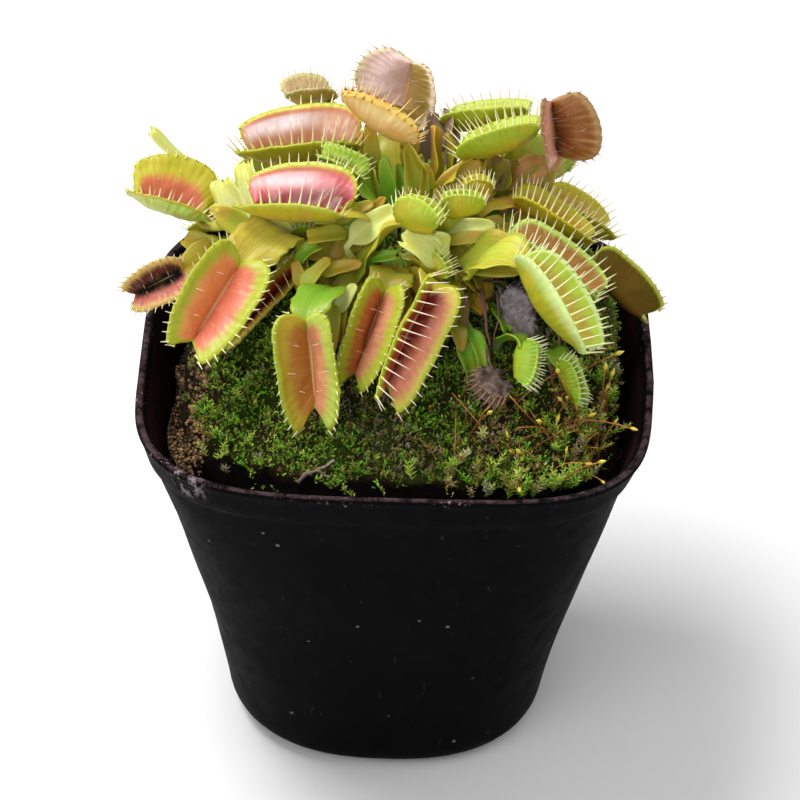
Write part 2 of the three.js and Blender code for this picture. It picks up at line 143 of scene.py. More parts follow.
# Skins: the colours of one kind of leaf, as linear red, green and blue, and where they lie on it
def skin(**colours):
    """A skin from the usual one.

    outer is a lobe's outside and outer_flush the warm tint on it. Inside, heart fills the lobe as far out
    as band, where rim starts, and deep darkens it by depth along the slanted span low. fringe and edge are
    lines at the margin, and edge starts at edge_from outside. shine is the colour of a painted
    highlight, a pale band on the first lobe's inner face, and glaze how strong it is. stalk,
    stalk_flush and base colour the stalk, and bead and tooth a tooth's root and length. A name with _other
    is for the second lobe. gloss is roughness, wet and coat are gloss, and dead roughens a withered leaf,
    with dust on it.
    """
    base = {
        "outer": (0.38, 0.42, 0.02),
        "outer_flush": (0.52, 0.34, 0.03),
        "rim": (0.42, 0.46, 0.02),
        "heart": (0.70, 0.20, 0.09),
        "deep": (0.36, 0.05, 0.03),
        "stalk": (0.40, 0.40, 0.025),
        "stalk_flush": (0.52, 0.35, 0.035),
        "tooth": (0.84, 0.76, 0.42),
        "bead": (0.62, 0.62, 0.12),
        "base": (0.58, 0.62, 0.24),
        "vein": (0.70, 0.48, 0.20),
        "dust": (0.24, 0.20, 0.20),
        "band": 0.7,
        "depth": 0.3,
        "low": (0.3, 0.85, 0.15),
        "edge_from": 0.84,
        "shine": (0.92, 0.80, 0.80),
        "glaze": 0.0,
        "gloss": 0.42,
        "wet": 0.35,
        "coat": 0.05,
        "dead": 0.0,
    }
    base.update(colours)
    base.setdefault("outer_other", base["outer"])
    base.setdefault("heart_other", base["heart"])
    base.setdefault("rim_other", base["rim"])
    base.setdefault("edge", base["rim"])
    base.setdefault("fringe", None)
    return base


SKINS = {
    "coral": skin(
        outer_other=(0.38, 0.56, 0.05), heart=(0.72, 0.25, 0.075), heart_other=(0.62, 0.16, 0.10),
        deep=(0.52, 0.13, 0.04), rim=(0.38, 0.42, 0.02), stalk=(0.66, 0.60, 0.08), band=0.76,
    ),
    "rust": skin(
        outer=(0.46, 0.66, 0.09), outer_other=(0.46, 0.70, 0.10), heart=(0.56, 0.15, 0.06),
        deep=(0.36, 0.08, 0.04), rim=(0.44, 0.40, 0.02), stalk=(0.46, 0.60, 0.10), band=0.64, depth=0.5,
    ),
    # ember: the first lobe's heart and its deep are near black, painted shade in the trap's dark hollow.
    "ember": skin(
        outer=(0.50, 0.30, 0.14), outer_flush=(0.56, 0.34, 0.20), heart=(0.10, 0.015, 0.012),
        heart_other=(0.60, 0.16, 0.12), deep=(0.012, 0.008, 0.010), rim=(0.56, 0.36, 0.10),
        stalk=(0.40, 0.42, 0.03), tooth=(0.70, 0.52, 0.40), band=0.86, depth=1.0, low=(0.15, 0.75, 0.4),
    ),
    "dusk": skin(
        outer=(0.42, 0.34, 0.03), outer_flush=(0.46, 0.30, 0.08), heart=(0.40, 0.27, 0.11),
        heart_other=(0.46, 0.36, 0.04), deep=(0.20, 0.11, 0.07), rim=(0.50, 0.44, 0.20),
        tooth=(0.72, 0.60, 0.44), band=0.9, depth=0.6,
    ),
    # dewy: its pale edge on the outer margin, from edge_from out, is a painted highlight.
    "dewy": skin(
        outer=(0.34, 0.44, 0.02), outer_flush=(0.60, 0.42, 0.02), heart=(0.44, 0.34, 0.02),
        heart_other=(0.40, 0.34, 0.02), deep=(0.50, 0.18, 0.02), rim=(0.40, 0.54, 0.04),
        edge=(0.60, 0.75, 0.28), edge_from=0.68, stalk=(0.50, 0.56, 0.06), stalk_flush=(0.58, 0.40, 0.03),
        bead=(0.60, 0.76, 0.20), band=0.78, depth=0.6,
    ),
    "pale": skin(
        outer=(0.44, 0.42, 0.02), heart=(0.42, 0.17, 0.02), heart_other=(0.70, 0.30, 0.15),
        deep=(0.38, 0.13, 0.03), rim=(0.44, 0.32, 0.015), rim_other=(0.46, 0.55, 0.09),
        edge=(0.36, 0.45, 0.02), stalk=(0.14, 0.34, 0.02), stalk_flush=(0.30, 0.42, 0.02),
    ),
    "salmon": skin(
        outer=(0.42, 0.40, 0.02), heart=(0.44, 0.14, 0.03), heart_other=(0.64, 0.28, 0.15),
        deep=(0.34, 0.05, 0.02), rim=(0.38, 0.43, 0.02), stalk=(0.42, 0.40, 0.03), band=0.78, depth=0.5,
    ),
    "cherry": skin(
        outer=(0.44, 0.42, 0.02), outer_flush=(0.56, 0.36, 0.04), heart=(0.38, 0.03, 0.015),
        heart_other=(0.74, 0.25, 0.15), deep=(0.20, 0.008, 0.006), rim=(0.40, 0.47, 0.03),
        rim_other=(0.56, 0.46, 0.07), tooth=(0.86, 0.66, 0.50), bead=(0.60, 0.62, 0.10), band=0.82,
        depth=0.95, low=(0.5, 0.9, 0.4), gloss=0.34,
    ),
    "crimson": skin(
        outer=(0.36, 0.32, 0.02), heart=(0.34, 0.04, 0.015), heart_other=(0.34, 0.09, 0.02),
        deep=(0.14, 0.01, 0.006), rim=(0.40, 0.32, 0.02), stalk=(0.34, 0.34, 0.02),
        tooth=(0.78, 0.60, 0.30), band=0.8, depth=0.6,
    ),
    # pink: its near-black deep by the midrib and neck is painted shade over the red, and the pale band on its
    # first lobe is a painted highlight.
    "pink": skin(
        outer=(0.52, 0.44, 0.02), outer_flush=(0.60, 0.32, 0.05), heart=(0.58, 0.11, 0.13),
        heart_other=(0.62, 0.20, 0.06), deep=(0.17, 0.003, 0.006), rim=(0.46, 0.50, 0.04),
        fringe=(0.52, 0.17, 0.06), glaze=0.5, bead=(0.62, 0.70, 0.12), band=1.1, depth=1.0,
        low=(0.55, 1.05, 0.55), gloss=0.38, coat=0.06,
    ),
    # blush: the pale band on its first lobe, in its own colour, is a painted highlight.
    "blush": skin(
        outer=(0.46, 0.44, 0.02), outer_flush=(0.56, 0.36, 0.04), heart=(0.50, 0.27, 0.16),
        heart_other=(0.60, 0.24, 0.08), deep=(0.32, 0.11, 0.04), rim=(0.46, 0.48, 0.03),
        fringe=(0.48, 0.16, 0.06), shine=(0.66, 0.56, 0.58), glaze=0.75, bead=(0.62, 0.68, 0.10),
        band=1.1, depth=0.9, low=(-0.7, 0.7, 0.1), gloss=0.38, coat=0.06,
    ),
    "lime": skin(
        outer=(0.34, 0.46, 0.02), outer_flush=(0.56, 0.44, 0.02), heart=(0.46, 0.34, 0.02),
        heart_other=(0.44, 0.30, 0.02), deep=(0.50, 0.18, 0.02), rim=(0.42, 0.52, 0.03),
        stalk=(0.40, 0.46, 0.04), stalk_flush=(0.56, 0.36, 0.03), bead=(0.60, 0.74, 0.16), band=0.72,
        depth=0.6,
    ),
    "mint": skin(
        outer=(0.36, 0.52, 0.06), outer_flush=(0.42, 0.46, 0.02), heart=(0.30, 0.13, 0.02),
        heart_other=(0.32, 0.15, 0.02), deep=(0.20, 0.05, 0.012), rim=(0.42, 0.56, 0.09),
        stalk=(0.36, 0.42, 0.03), stalk_flush=(0.56, 0.34, 0.03), bead=(0.66, 0.80, 0.30), band=0.98,
        depth=0.6,
    ),
    "fresh": skin(
        outer=(0.24, 0.46, 0.02), outer_flush=(0.40, 0.46, 0.03), heart=(0.40, 0.44, 0.04),
        deep=(0.40, 0.34, 0.04), rim=(0.40, 0.56, 0.06), stalk=(0.16, 0.40, 0.02),
        stalk_flush=(0.30, 0.42, 0.02), tooth=(0.76, 0.80, 0.46), bead=(0.50, 0.66, 0.12), band=0.5,
    ),
    "olive": skin(
        outer=(0.42, 0.40, 0.02), outer_flush=(0.56, 0.34, 0.02), heart=(0.50, 0.30, 0.02),
        deep=(0.44, 0.14, 0.02), rim=(0.52, 0.46, 0.02), stalk=(0.46, 0.38, 0.03),
        stalk_flush=(0.56, 0.24, 0.03), band=0.76, depth=0.5,
    ),
    "brown": skin(
        outer=(0.085, 0.058, 0.003), outer_flush=(0.12, 0.06, 0.005), heart=(0.20, 0.08, 0.02),
        deep=(0.08, 0.02, 0.01), rim=(0.40, 0.44, 0.05), stalk=(0.28, 0.20, 0.02),
        stalk_flush=(0.3, 0.14, 0.03), tooth=(0.34, 0.26, 0.22), bead=(0.40, 0.34, 0.10), gloss=0.55,
        wet=0.08, coat=0.0,
    ),
    # peach: its pale cream outside is partly the lobe's own colour and partly a painted highlight.
    "peach": skin(
        outer=(0.86, 0.64, 0.28), outer_flush=(0.82, 0.44, 0.12), heart=(0.82, 0.58, 0.20),
        heart_other=(0.84, 0.62, 0.26), deep=(0.66, 0.24, 0.06), rim=(0.76, 0.52, 0.10),
        tooth=(0.86, 0.58, 0.26), bead=(0.46, 0.12, 0.04), band=0.78, depth=0.6,
    ),
    # mauve: the second lobe is painted far paler than the first, painted light on a face that lies in shade.
    "mauve": skin(
        outer=(0.34, 0.28, 0.06), outer_other=(0.62, 0.50, 0.46), outer_flush=(0.42, 0.26, 0.10),
        heart=(0.22, 0.15, 0.01), heart_other=(0.80, 0.60, 0.58), deep=(0.50, 0.20, 0.14),
        rim=(0.66, 0.54, 0.36), tooth=(0.70, 0.44, 0.38), bead=(0.56, 0.46, 0.26), band=0.92, gloss=0.44,
    ),
    "bronze": skin(
        outer=(0.26, 0.10, 0.02), outer_flush=(0.32, 0.13, 0.03), heart=(0.25, 0.085, 0.012),
        heart_other=(0.72, 0.32, 0.22), deep=(0.10, 0.02, 0.01), rim=(0.36, 0.20, 0.07),
        stalk=(0.50, 0.26, 0.08), stalk_flush=(0.56, 0.28, 0.10), tooth=(0.40, 0.28, 0.22),
        bead=(0.36, 0.22, 0.10), band=0.9, depth=0.6,
    ),
    "cream": skin(
        rim=(0.66, 0.74, 0.20), stalk=(0.66, 0.72, 0.24), stalk_flush=(0.62, 0.62, 0.12),
        base=(0.74, 0.78, 0.42),
    ),
    "amber": skin(
        rim=(0.54, 0.50, 0.04), stalk=(0.50, 0.42, 0.04), stalk_flush=(0.60, 0.30, 0.05),
        base=(0.60, 0.50, 0.16),
    ),
    # moody: a darker copy of the blade tissue for blades that lie in shade, painted shade.
    "moody": skin(
        rim=(0.36, 0.36, 0.02), stalk=(0.27, 0.28, 0.016), stalk_flush=(0.40, 0.24, 0.03),
        base=(0.30, 0.30, 0.08),
    ),
    "plum": skin(
        rim=(0.36, 0.28, 0.16), stalk=(0.26, 0.19, 0.15), stalk_flush=(0.30, 0.16, 0.13),
        base=(0.30, 0.26, 0.14),
    ),
    "ash": skin(
        outer=(0.30, 0.26, 0.28), outer_flush=(0.20, 0.16, 0.17), heart=(0.12, 0.09, 0.09),
        deep=(0.05, 0.03, 0.03), rim=(0.06, 0.035, 0.04), edge_from=0.74, stalk=(0.06, 0.03, 0.02),
        stalk_flush=(0.04, 0.02, 0.015), tooth=(0.05, 0.025, 0.025), bead=(0.04, 0.02, 0.02),
        dust=(0.44, 0.40, 0.43), gloss=0.85, dead=1.0,
    ),
    "husk": skin(
        outer=(0.15, 0.10, 0.08), outer_flush=(0.08, 0.045, 0.03), heart=(0.10, 0.06, 0.045),
        deep=(0.05, 0.025, 0.02), rim=(0.20, 0.12, 0.08), stalk=(0.08, 0.04, 0.02),
        stalk_flush=(0.05, 0.025, 0.015), tooth=(0.42, 0.25, 0.15), bead=(0.24, 0.14, 0.08),
        dust=(0.26, 0.20, 0.18), gloss=0.85, dead=1.0,
    ),
}

# Every leaf, shaped as its solid is, with its skin. foot, neck and tip are places. roll turns the mouth
# about the midrib, gape is the angle between the lobes' margins, curl bends each lobe inward and twist turns
# the stalk's flat face at its foot, all in degrees. lobe, tooth and wing are the lobe's width, the teeth's
# length and the stalk's full width, and lift is how far the stalk first rises. point draws out the lobes'
# far end. lean and comb say for each lobe how far its teeth bend over the mouth and how long they are, as a
# share of tooth.
LEAVES = (
    dict(
        name="leaf_left_front", skin="coral", foot=(-16.5, 6), neck=(-27.5, -4, 91.5),
        tip=(-35, -15, 82.5), roll=-31, gape=91, curl=14, lobe=8.5, tooth=3, teeth=16, wing=10, lift=15,
        lean=(0.0, 0.15), point=0.6, comb=(0.6, 0.75),
    ),
    dict(
        name="leaf_left_inner", skin="crimson", foot=(-15.5, -3), neck=(-18, 3, 86), tip=(-28, -5, 77.5),
        roll=-32, gape=40, curl=22, lobe=5.2, tooth=3, teeth=14, wing=4, lift=4, lean=(0.3, 0.9),
        point=0.6, comb=(0.6, 1.0),
    ),
    dict(
        name="leaf_front_hanging", skin="pale", foot=(-9.5, 0.5), neck=(-15.5, -17, 89),
        tip=(-13.5, -22.5, 75), roll=27, gape=79, curl=26, lobe=8, tooth=1.8, teeth=16, wing=8, lift=9,
        lean=(0.1, 0.1), point=0.9, comb=(0.7, 0.7),
    ),
    dict(
        name="leaf_front_centre", skin="salmon", foot=(1, 1.5), neck=(-2.5, -5, 87.5),
        tip=(-7, -14, 76.5), roll=-23, gape=66, curl=11, lobe=7, tooth=2.5, teeth=15, wing=8, lift=10,
        lean=(0.6, 0.2), point=0.6, comb=(0.8, 0.7),
    ),
    dict(
        name="leaf_front_toothed", skin="cherry", foot=(8.5, 0.5), neck=(5.5, -9.5, 91),
        tip=(-1.5, -21, 79), roll=-55, gape=74, curl=25, lobe=7, tooth=5, teeth=16, wing=8, lift=8,
        lean=(1.2, 0.1), point=0.6, comb=(1.0, 0.34),
    ),
    dict(
        name="leaf_right_front", skin="dewy", foot=(10.5, 3.5), neck=(21, -10, 96.5),
        tip=(30.5, -18.5, 87), roll=-32, gape=100, curl=45, lobe=10.5, tooth=5.5, teeth=18, wing=12,
        twist=40, lift=10, lean=(0.75, 0.1), comb=(0.85, 0.3),
    ),
    dict(
        name="leaf_right_upper", skin="mint", foot=(15.5, 9), neck=(19, 5.5, 90.5), tip=(32, 0, 84.5),
        roll=-15, gape=76, curl=36, lobe=9, tooth=5, teeth=16, wing=7, lift=7, lean=(0.45, 0.1),
        comb=(0.95, 0.4),
    ),
    dict(
        name="leaf_right_edge", skin="brown", foot=(20.5, 13.5), neck=(34, 8, 85.5), tip=(43, 4.5, 78.5),
        roll=-93, gape=67, curl=24, lobe=6.5, tooth=2.4, teeth=15, wing=4, lift=5, comb=(0.6, 0.6),
    ),
    dict(
        name="leaf_right_back", skin="olive", foot=(12.5, 14.5), neck=(20.5, 17, 92.5),
        tip=(31.5, 14.5, 87), roll=-15, gape=87, curl=34, lobe=6.5, tooth=4, teeth=17, wing=5, lift=8,
        lean=(0.5, 0.2), comb=(0.9, 0.5),
    ),
    dict(
        name="leaf_grey_dead", skin="ash", foot=(18.5, 1.5), neck=(18, -3, 86.5), tip=(21, -7, 80),
        roll=-57, gape=41, curl=40, lobe=5.5, tooth=1.8, teeth=12, wing=3, lift=3,
    ),
    dict(
        name="leaf_small_low", skin="fresh", foot=(17.5, -5), neck=(21.5, -15, 84.5),
        tip=(21, -18.5, 79.5), roll=-78, gape=16, curl=39, lobe=4, tooth=2.6, teeth=13, wing=4, lift=3,
    ),
    dict(
        name="leaf_small_right", skin="fresh", foot=(26.5, -8), neck=(28, -14.5, 80.5),
        tip=(30.5, -17, 75), roll=-11, gape=15, curl=38, lobe=4, tooth=2, teeth=13, wing=4, lift=4,
    ),
    dict(
        name="leaf_brown_dead", skin="husk", foot=(13, -4), neck=(16, -12.5, 77.5), tip=(19.5, -15.5, 75),
        roll=110, gape=40, curl=30, lobe=5, tooth=2.6, teeth=12, wing=3, lift=2,
    ),
    dict(
        name="leaf_left_pink", skin="pink", foot=(-5.5, 14), neck=(-10.5, 2.5, 99), tip=(-25.5, 6, 97.5),
        roll=2, gape=101, curl=45, lobe=10.5, tooth=4.5, teeth=17, wing=6, lift=10, lean=(-0.5, 0.5),
        comb=(0.3, 0.9),
    ),
    dict(
        name="leaf_back_pink", skin="blush", foot=(-6.5, 21.5), neck=(-9.5, 24, 98), tip=(-26.5, 24, 96),
        roll=2, gape=86, curl=22, lobe=10.5, tooth=5, teeth=17, wing=8, lift=8, lean=(-0.5, 0.5),
        comb=(0.3, 0.95),
    ),
    dict(
        name="leaf_centre_orange", skin="peach", foot=(1.5, 18.5), neck=(0.5, 16.5, 105),
        tip=(-10, 19, 110.5), roll=29, gape=103, curl=43, lobe=8, tooth=3.5, teeth=14, wing=8, lift=10,
        lean=(0.4, 0.1), comb=(0.8, 0.6),
    ),
    dict(
        name="leaf_back_top", skin="mauve", foot=(0, 27.5), neck=(-0.5, 38, 99.5), tip=(1, 39, 108),
        roll=19, gape=123, curl=14, lobe=10, tooth=2.5, teeth=14, wing=9, lift=8, comb=(0.35, 0.4),
    ),
    dict(
        name="leaf_back_left_top", skin="dusk", foot=(-5, 27), neck=(-14, 38, 100), tip=(-21, 36.5, 101),
        roll=14, gape=96, curl=25, lobe=6.5, tooth=2.5, teeth=12, wing=8, lift=8, comb=(0.5, 0.5),
    ),
    dict(
        name="leaf_back_right", skin="lime", foot=(5, 19.5), neck=(11.5, 20, 100), tip=(22.5, 20.5, 105),
        roll=-22, gape=85, curl=44, lobe=7, tooth=4, teeth=15, wing=9, lift=8, lean=(0.3, 0.2),
        comb=(0.8, 0.9),
    ),
    dict(
        name="leaf_back_right_high", skin="lime", foot=(7, 24.5), neck=(8.5, 31.5, 99),
        tip=(20.5, 30, 102.5), roll=-20, gape=83, curl=37, lobe=6.5, tooth=3, teeth=13, wing=6, lift=8,
        comb=(0.8, 0.7),
    ),
    dict(
        name="leaf_back_right_brown", skin="bronze", foot=(11, 23.5), neck=(27, 24.5, 98.5),
        tip=(25.5, 27, 108), roll=-2, gape=71, curl=21, lobe=9.5, tooth=2, teeth=12, wing=6, lift=11,
        comb=(0.35, 0.35),
    ),
    dict(
        name="leaf_left_back", skin="rust", foot=(-16.5, 12.5), neck=(-35, 9.5, 92),
        tip=(-46.5, 10.5, 95.5), roll=0, gape=89, curl=24, lobe=10.5, tooth=2.2, teeth=15, wing=10,
        lift=8, comb=(0.5, 0.9),
    ),
    dict(
        name="leaf_left_edge", skin="ember", foot=(-18.5, 8.5), neck=(-37.5, -2, 88.5),
        tip=(-45.5, -3, 84), roll=-63, gape=80, curl=8, lobe=5.5, tooth=2.5, teeth=13, wing=9, lift=3,
    ),
    dict(
        name="leaf_young_centre", skin="lime", foot=(-9, 2.5), neck=(-0.5, 0.5, 98.5),
        tip=(5.5, -2, 98.5), roll=-20, gape=22, curl=38, lobe=6, tooth=2.4, teeth=11, wing=8, twist=40,
        lift=4,
    ),
    dict(
        name="leaf_young_back", skin="fresh", foot=(-2.5, 16.5), neck=(-7.5, 14, 99),
        tip=(-14, 15.5, 101.5), roll=-13, gape=58, curl=31, lobe=4, tooth=2.2, teeth=11, wing=8, lift=6,
    ),
    dict(
        name="leaf_young_right", skin="lime", foot=(9.5, 9.5), neck=(7.5, 4, 98.5), tip=(13.5, 4.5, 99),
        roll=-15, gape=30, curl=36, lobe=4.2, tooth=2.6, teeth=12, wing=8, lift=6,
    ),
    dict(
        name="leaf_young_back_right", skin="olive", foot=(8, 15), neck=(11.5, 12, 96.5),
        tip=(15.5, 12.5, 97.5), roll=-15, gape=30, curl=36, lobe=4.2, tooth=2.2, teeth=10, wing=7, lift=6,
    ),
    dict(
        name="leaf_young_front", skin="lime", foot=(4.5, 5), neck=(3, 0, 91.5), tip=(7, -2.5, 89),
        roll=-25, gape=24, curl=38, lobe=4.2, tooth=2.6, teeth=11, wing=5, lift=4,
    ),
    dict(
        name="leaf_rear_left", skin="coral", foot=(-5, 31), neck=(-17, 35, 88), tip=(-26, 40, 81),
        roll=20, gape=80, curl=18, lobe=8, tooth=3, teeth=14, wing=9, lift=6,
    ),
    dict(
        name="leaf_rear_hanging", skin="pale", foot=(0, 31.5), neck=(2, 39, 88), tip=(3, 45, 77), roll=0,
        gape=90, curl=14, lobe=8, tooth=3, teeth=15, wing=9, lift=8,
    ),
    dict(
        name="leaf_rear_right", skin="lime", foot=(5, 30), neck=(18, 35, 91), tip=(27, 40, 84), roll=-20,
        gape=36, curl=36, lobe=8, tooth=4.5, teeth=15, wing=8, lift=8,
    ),
    dict(
        name="leaf_side_left", skin="salmon", foot=(-13.5, 16.5), neck=(-26, 25, 84), tip=(-35, 28, 78),
        roll=-10, gape=60, curl=26, lobe=6.5, tooth=3, teeth=13, wing=9, lift=5,
    ),
    dict(
        name="leaf_side_right", skin="olive", foot=(10, 27), neck=(26, 26, 86), tip=(35, 29, 79), roll=10,
        gape=60, curl=26, lobe=7, tooth=3, teeth=13, wing=7, lift=5,
    ),
    dict(
        name="leaf_young_left", skin="fresh", foot=(-13, 6.5), neck=(-15.5, 8, 91), tip=(-18.5, 8, 90.5),
        roll=-10, gape=30, curl=36, lobe=3, tooth=1.6, teeth=9, wing=6, lift=6,
    ),
)


# Vector helpers on arrays of points
def unit(vectors):
    """The vectors at length 1."""
    return vectors / np.linalg.norm(vectors, axis=-1, keepdims=True)


def lerp(a, b, share):
    """The place a share of the way from a to b."""
    return a + (b - a) * share


def smoothstep(low, high, value):
    """0 at low and 1 at high, with an easy start and end. low may be the larger."""
    share = np.clip((value - low) / (high - low), 0, 1)
    return share * share * (3 - 2 * share)


def turned(vector, axis, degrees):
    """The vector turned round an axis of length 1."""
    angle = math.radians(degrees)
    along = axis * np.dot(axis, vector)
    return along + (vector - along) * math.cos(angle) + np.cross(axis, vector) * math.sin(angle)


def level_unit(points):
    """Level directions of length 1 away from the z axis."""
    return unit(points * FLAT + UP * 1e-9)


def ripples(points, size, seed, layers=3):
    """Smooth uneven waves over points, between about -1 and 1, with the given wavelength."""
    draw = np.random.default_rng(seed)
    total = np.zeros(points.shape[:-1])
    weight = 0.0
    for layer in range(layers):
        share = 0.55**layer
        for _ in range(4):
            heading = unit(draw.normal(size=points.shape[-1])) * 2 * math.pi / (size * 0.5**layer)
            total = total + share * np.sin(points @ heading + draw.uniform(0, 2 * math.pi))
        weight += share * 2
    return total / weight


# Meshes
class Shape:
    """Vertices, faces and per-vertex values collected for one piece."""

    def __init__(self):
        self.points = []
        self.faces = []
        self.values = {}
        self.count = 0

    def add(self, points, faces, **values):
        """points is (n, 3) in mm, faces a list of index tuples or an array, each value one number or n."""
        points = np.asarray(points, float)
        total = len(points)
        for name in {**self.values, **values}:
            rows = self.values.setdefault(name, [np.zeros(self.count)] if self.count else [])
            rows.append(np.broadcast_to(np.asarray(values.get(name, 0.0), float), (total,)))
        self.points.append(points)
        self.faces.append((self.count, faces))
        self.count += total

    def build(self, name, material, smooth=True):
        """The finished object, in the scene."""
        mesh = bpy.data.meshes.new(name)
        points = np.concatenate(self.points) * MM
        faces = []
        for start, rows in self.faces:
            for row in rows:
                faces.append(tuple(int(index) + start for index in row))
        mesh.from_pydata(points.tolist(), [], faces)
        for key, rows in self.values.items():
            layer = mesh.attributes.new(key, "FLOAT", "POINT")
            layer.data.foreach_set("value", np.concatenate(rows).astype(np.float32))
        if smooth:
            mesh.shade_smooth()
        mesh.materials.append(material)
        mesh.validate()
        piece = bpy.data.objects.new(name, mesh)
        bpy.context.scene.collection.objects.link(piece)
        return piece


def grid_faces(rows, columns, offset=0, wrap=False, flip=False):
    """Quads over a grid of rows by columns points, its last column joined to its first if wrap is set."""
    faces = []
    for r in range(rows - 1):
        for c in range(columns if wrap else columns - 1):
            a = offset + r * columns + c
            b = offset + r * columns + (c + 1) % columns
            quad = (a, b, b + columns, a + columns)
            faces.append(quad[::-1] if flip else quad)
    return faces


def fanned(rings, ends):
    """Points and faces of a closed body over rings of equal length, each end a fan round its own point."""
    count, columns = rings.shape[:2]
    faces = grid_faces(count, columns, wrap=True)
    first, last = count * columns, (count - 1) * columns
    for c in range(columns):
        after = (c + 1) % columns
        faces.append((first, after, c))
        faces.append((first + 1, last + c, last + after))
    return np.concatenate([rings.reshape(-1, 3), ends]), faces


def capped(rings):
    """Points and faces of a closed body over rings of equal length, each end one flat face."""
    count, columns = rings.shape[:2]
    faces = grid_faces(count, columns, wrap=True)
    last = (count - 1) * columns
    faces.append(tuple(range(columns - 1, -1, -1)))
    faces.append(tuple(range(last, last + columns)))
    return rings.reshape(-1, 3), faces


# A direction that no tube runs along, which settles where its seam lies
TUBE_SEAM = np.array([0.31, 0.87, 0.39])


def tube(shape, path, radii, sides=6, **values):
    """A closed tube along path with one radius for each point, its ends drawn in to a point."""
    path = np.asarray(path, float)
    radii = np.broadcast_to(np.asarray(radii, float), (len(path),))
    heading = unit(np.gradient(path, axis=0))
    across = unit(np.cross(heading, TUBE_SEAM))
    other = np.cross(heading, across)
    angles = 2 * math.pi * np.arange(sides) / sides
    cosine, sine = np.cos(angles)[None, :, None], np.sin(angles)[None, :, None]
    ring = cosine * across[:, None, :] + sine * other[:, None, :]
    points, faces = fanned(path[:, None, :] + ring * radii[:, None, None], path[[0, -1]])
    spread = {}
    for name, value in values.items():
        value = np.asarray(value, float)
        if value.ndim:
            spread[name] = np.concatenate([np.repeat(value, sides), value[:1], value[-1:]])
        else:
            spread[name] = value
    shape.add(points, faces, **spread)


def bezier(start, first, second, end, shares):
    """Points at shares of a cubic curve from start to end, drawn toward first and second."""
    shares = np.asarray(shares)[:, None]
    rest = 1 - shares
    return rest**3 * start + 3 * rest**2 * shares * first + 3 * rest * shares**2 * second + shares**3 * end


def round_angles(count):
    """Angles spaced evenly round a ring, half a step off the x axis."""
    return 2 * math.pi * (np.arange(count) + 0.5) / count


# The solids' own surfaces
def rounded_square(angles, half, squareness):
    """Points round a superellipse with half sizes along x and y."""
    cosine, sine = np.cos(angles), np.sin(angles)
    x = np.sign(cosine) * np.abs(cosine) ** (2 / squareness)
    y = np.sign(sine) * np.abs(sine) ** (2 / squareness)
    return np.stack([x * half[0], y * half[1]], -1)


def pot_ring(z, inset, angles):
    """The pot's outline at a height, drawn in by inset."""
    share = (max(z, 0) / POT_HEIGHT) ** POT_FLARE
    hidden = max(POT_FOOT_ROUND - z, 0)
    tuck = POT_FOOT_ROUND - math.sqrt(max(POT_FOOT_ROUND**2 - hidden**2, 0))
    half = lerp(POT_FOOT_HALF, POT_RIM_HALF, share) - tuck - inset
    ring = rounded_square(angles, (half, half), lerp(POT_FOOT_SQUARENESS, POT_RIM_SQUARENESS, share))
    return np.column_stack([ring, np.full(len(angles), z)])


def moss_relief(x, y):
    """Height of the cushion over the peat, before its edge is rounded off."""
    rise = smoothstep(*MOSS_RISE, y)
    back = smoothstep(MOSS_RISE[1], MOSS_HALF[1], y)
    broad = 0.9 * np.sin(0.42 * x + 0.6) * np.cos(0.37 * y)
    fine = 0.6 * np.sin(0.8 * x - 0.66 * y)
    slope = MOSS_FRONT_HEIGHT + (MOSS_BACK_HEIGHT - MOSS_FRONT_HEIGHT) * rise - MOSS_BACK_DROP * back
    return slope + broad + fine


def moss_top(x, y, share):
    """Height of the cushion where share tells how near the edge lies."""
    rounded = np.sqrt(np.clip(1 - share**MOSS_SHOULDER, 0, 1))
    return PEAT_TOP + GAP + MOSS_EDGE_HEIGHT + (moss_relief(x, y) - MOSS_EDGE_HEIGHT) * rounded


def moss_share(x, y):
    """How near a place lies to the cushion's edge: 0 at its centre, 1 on the edge."""
    across = np.abs((x - MOSS_CENTRE[0]) / MOSS_HALF[0]) ** MOSS_SQUARENESS
    along = np.abs((y - MOSS_CENTRE[1]) / MOSS_HALF[1]) ** MOSS_SQUARENESS
    return (across + along) ** (1 / MOSS_SQUARENESS)


def moss_surface(x, y):
    """Height of the solid cushion at a place."""
    return moss_top(x, y, np.minimum(moss_share(x, y), 1))


# Leaves
MARGIN_STEPS = 24


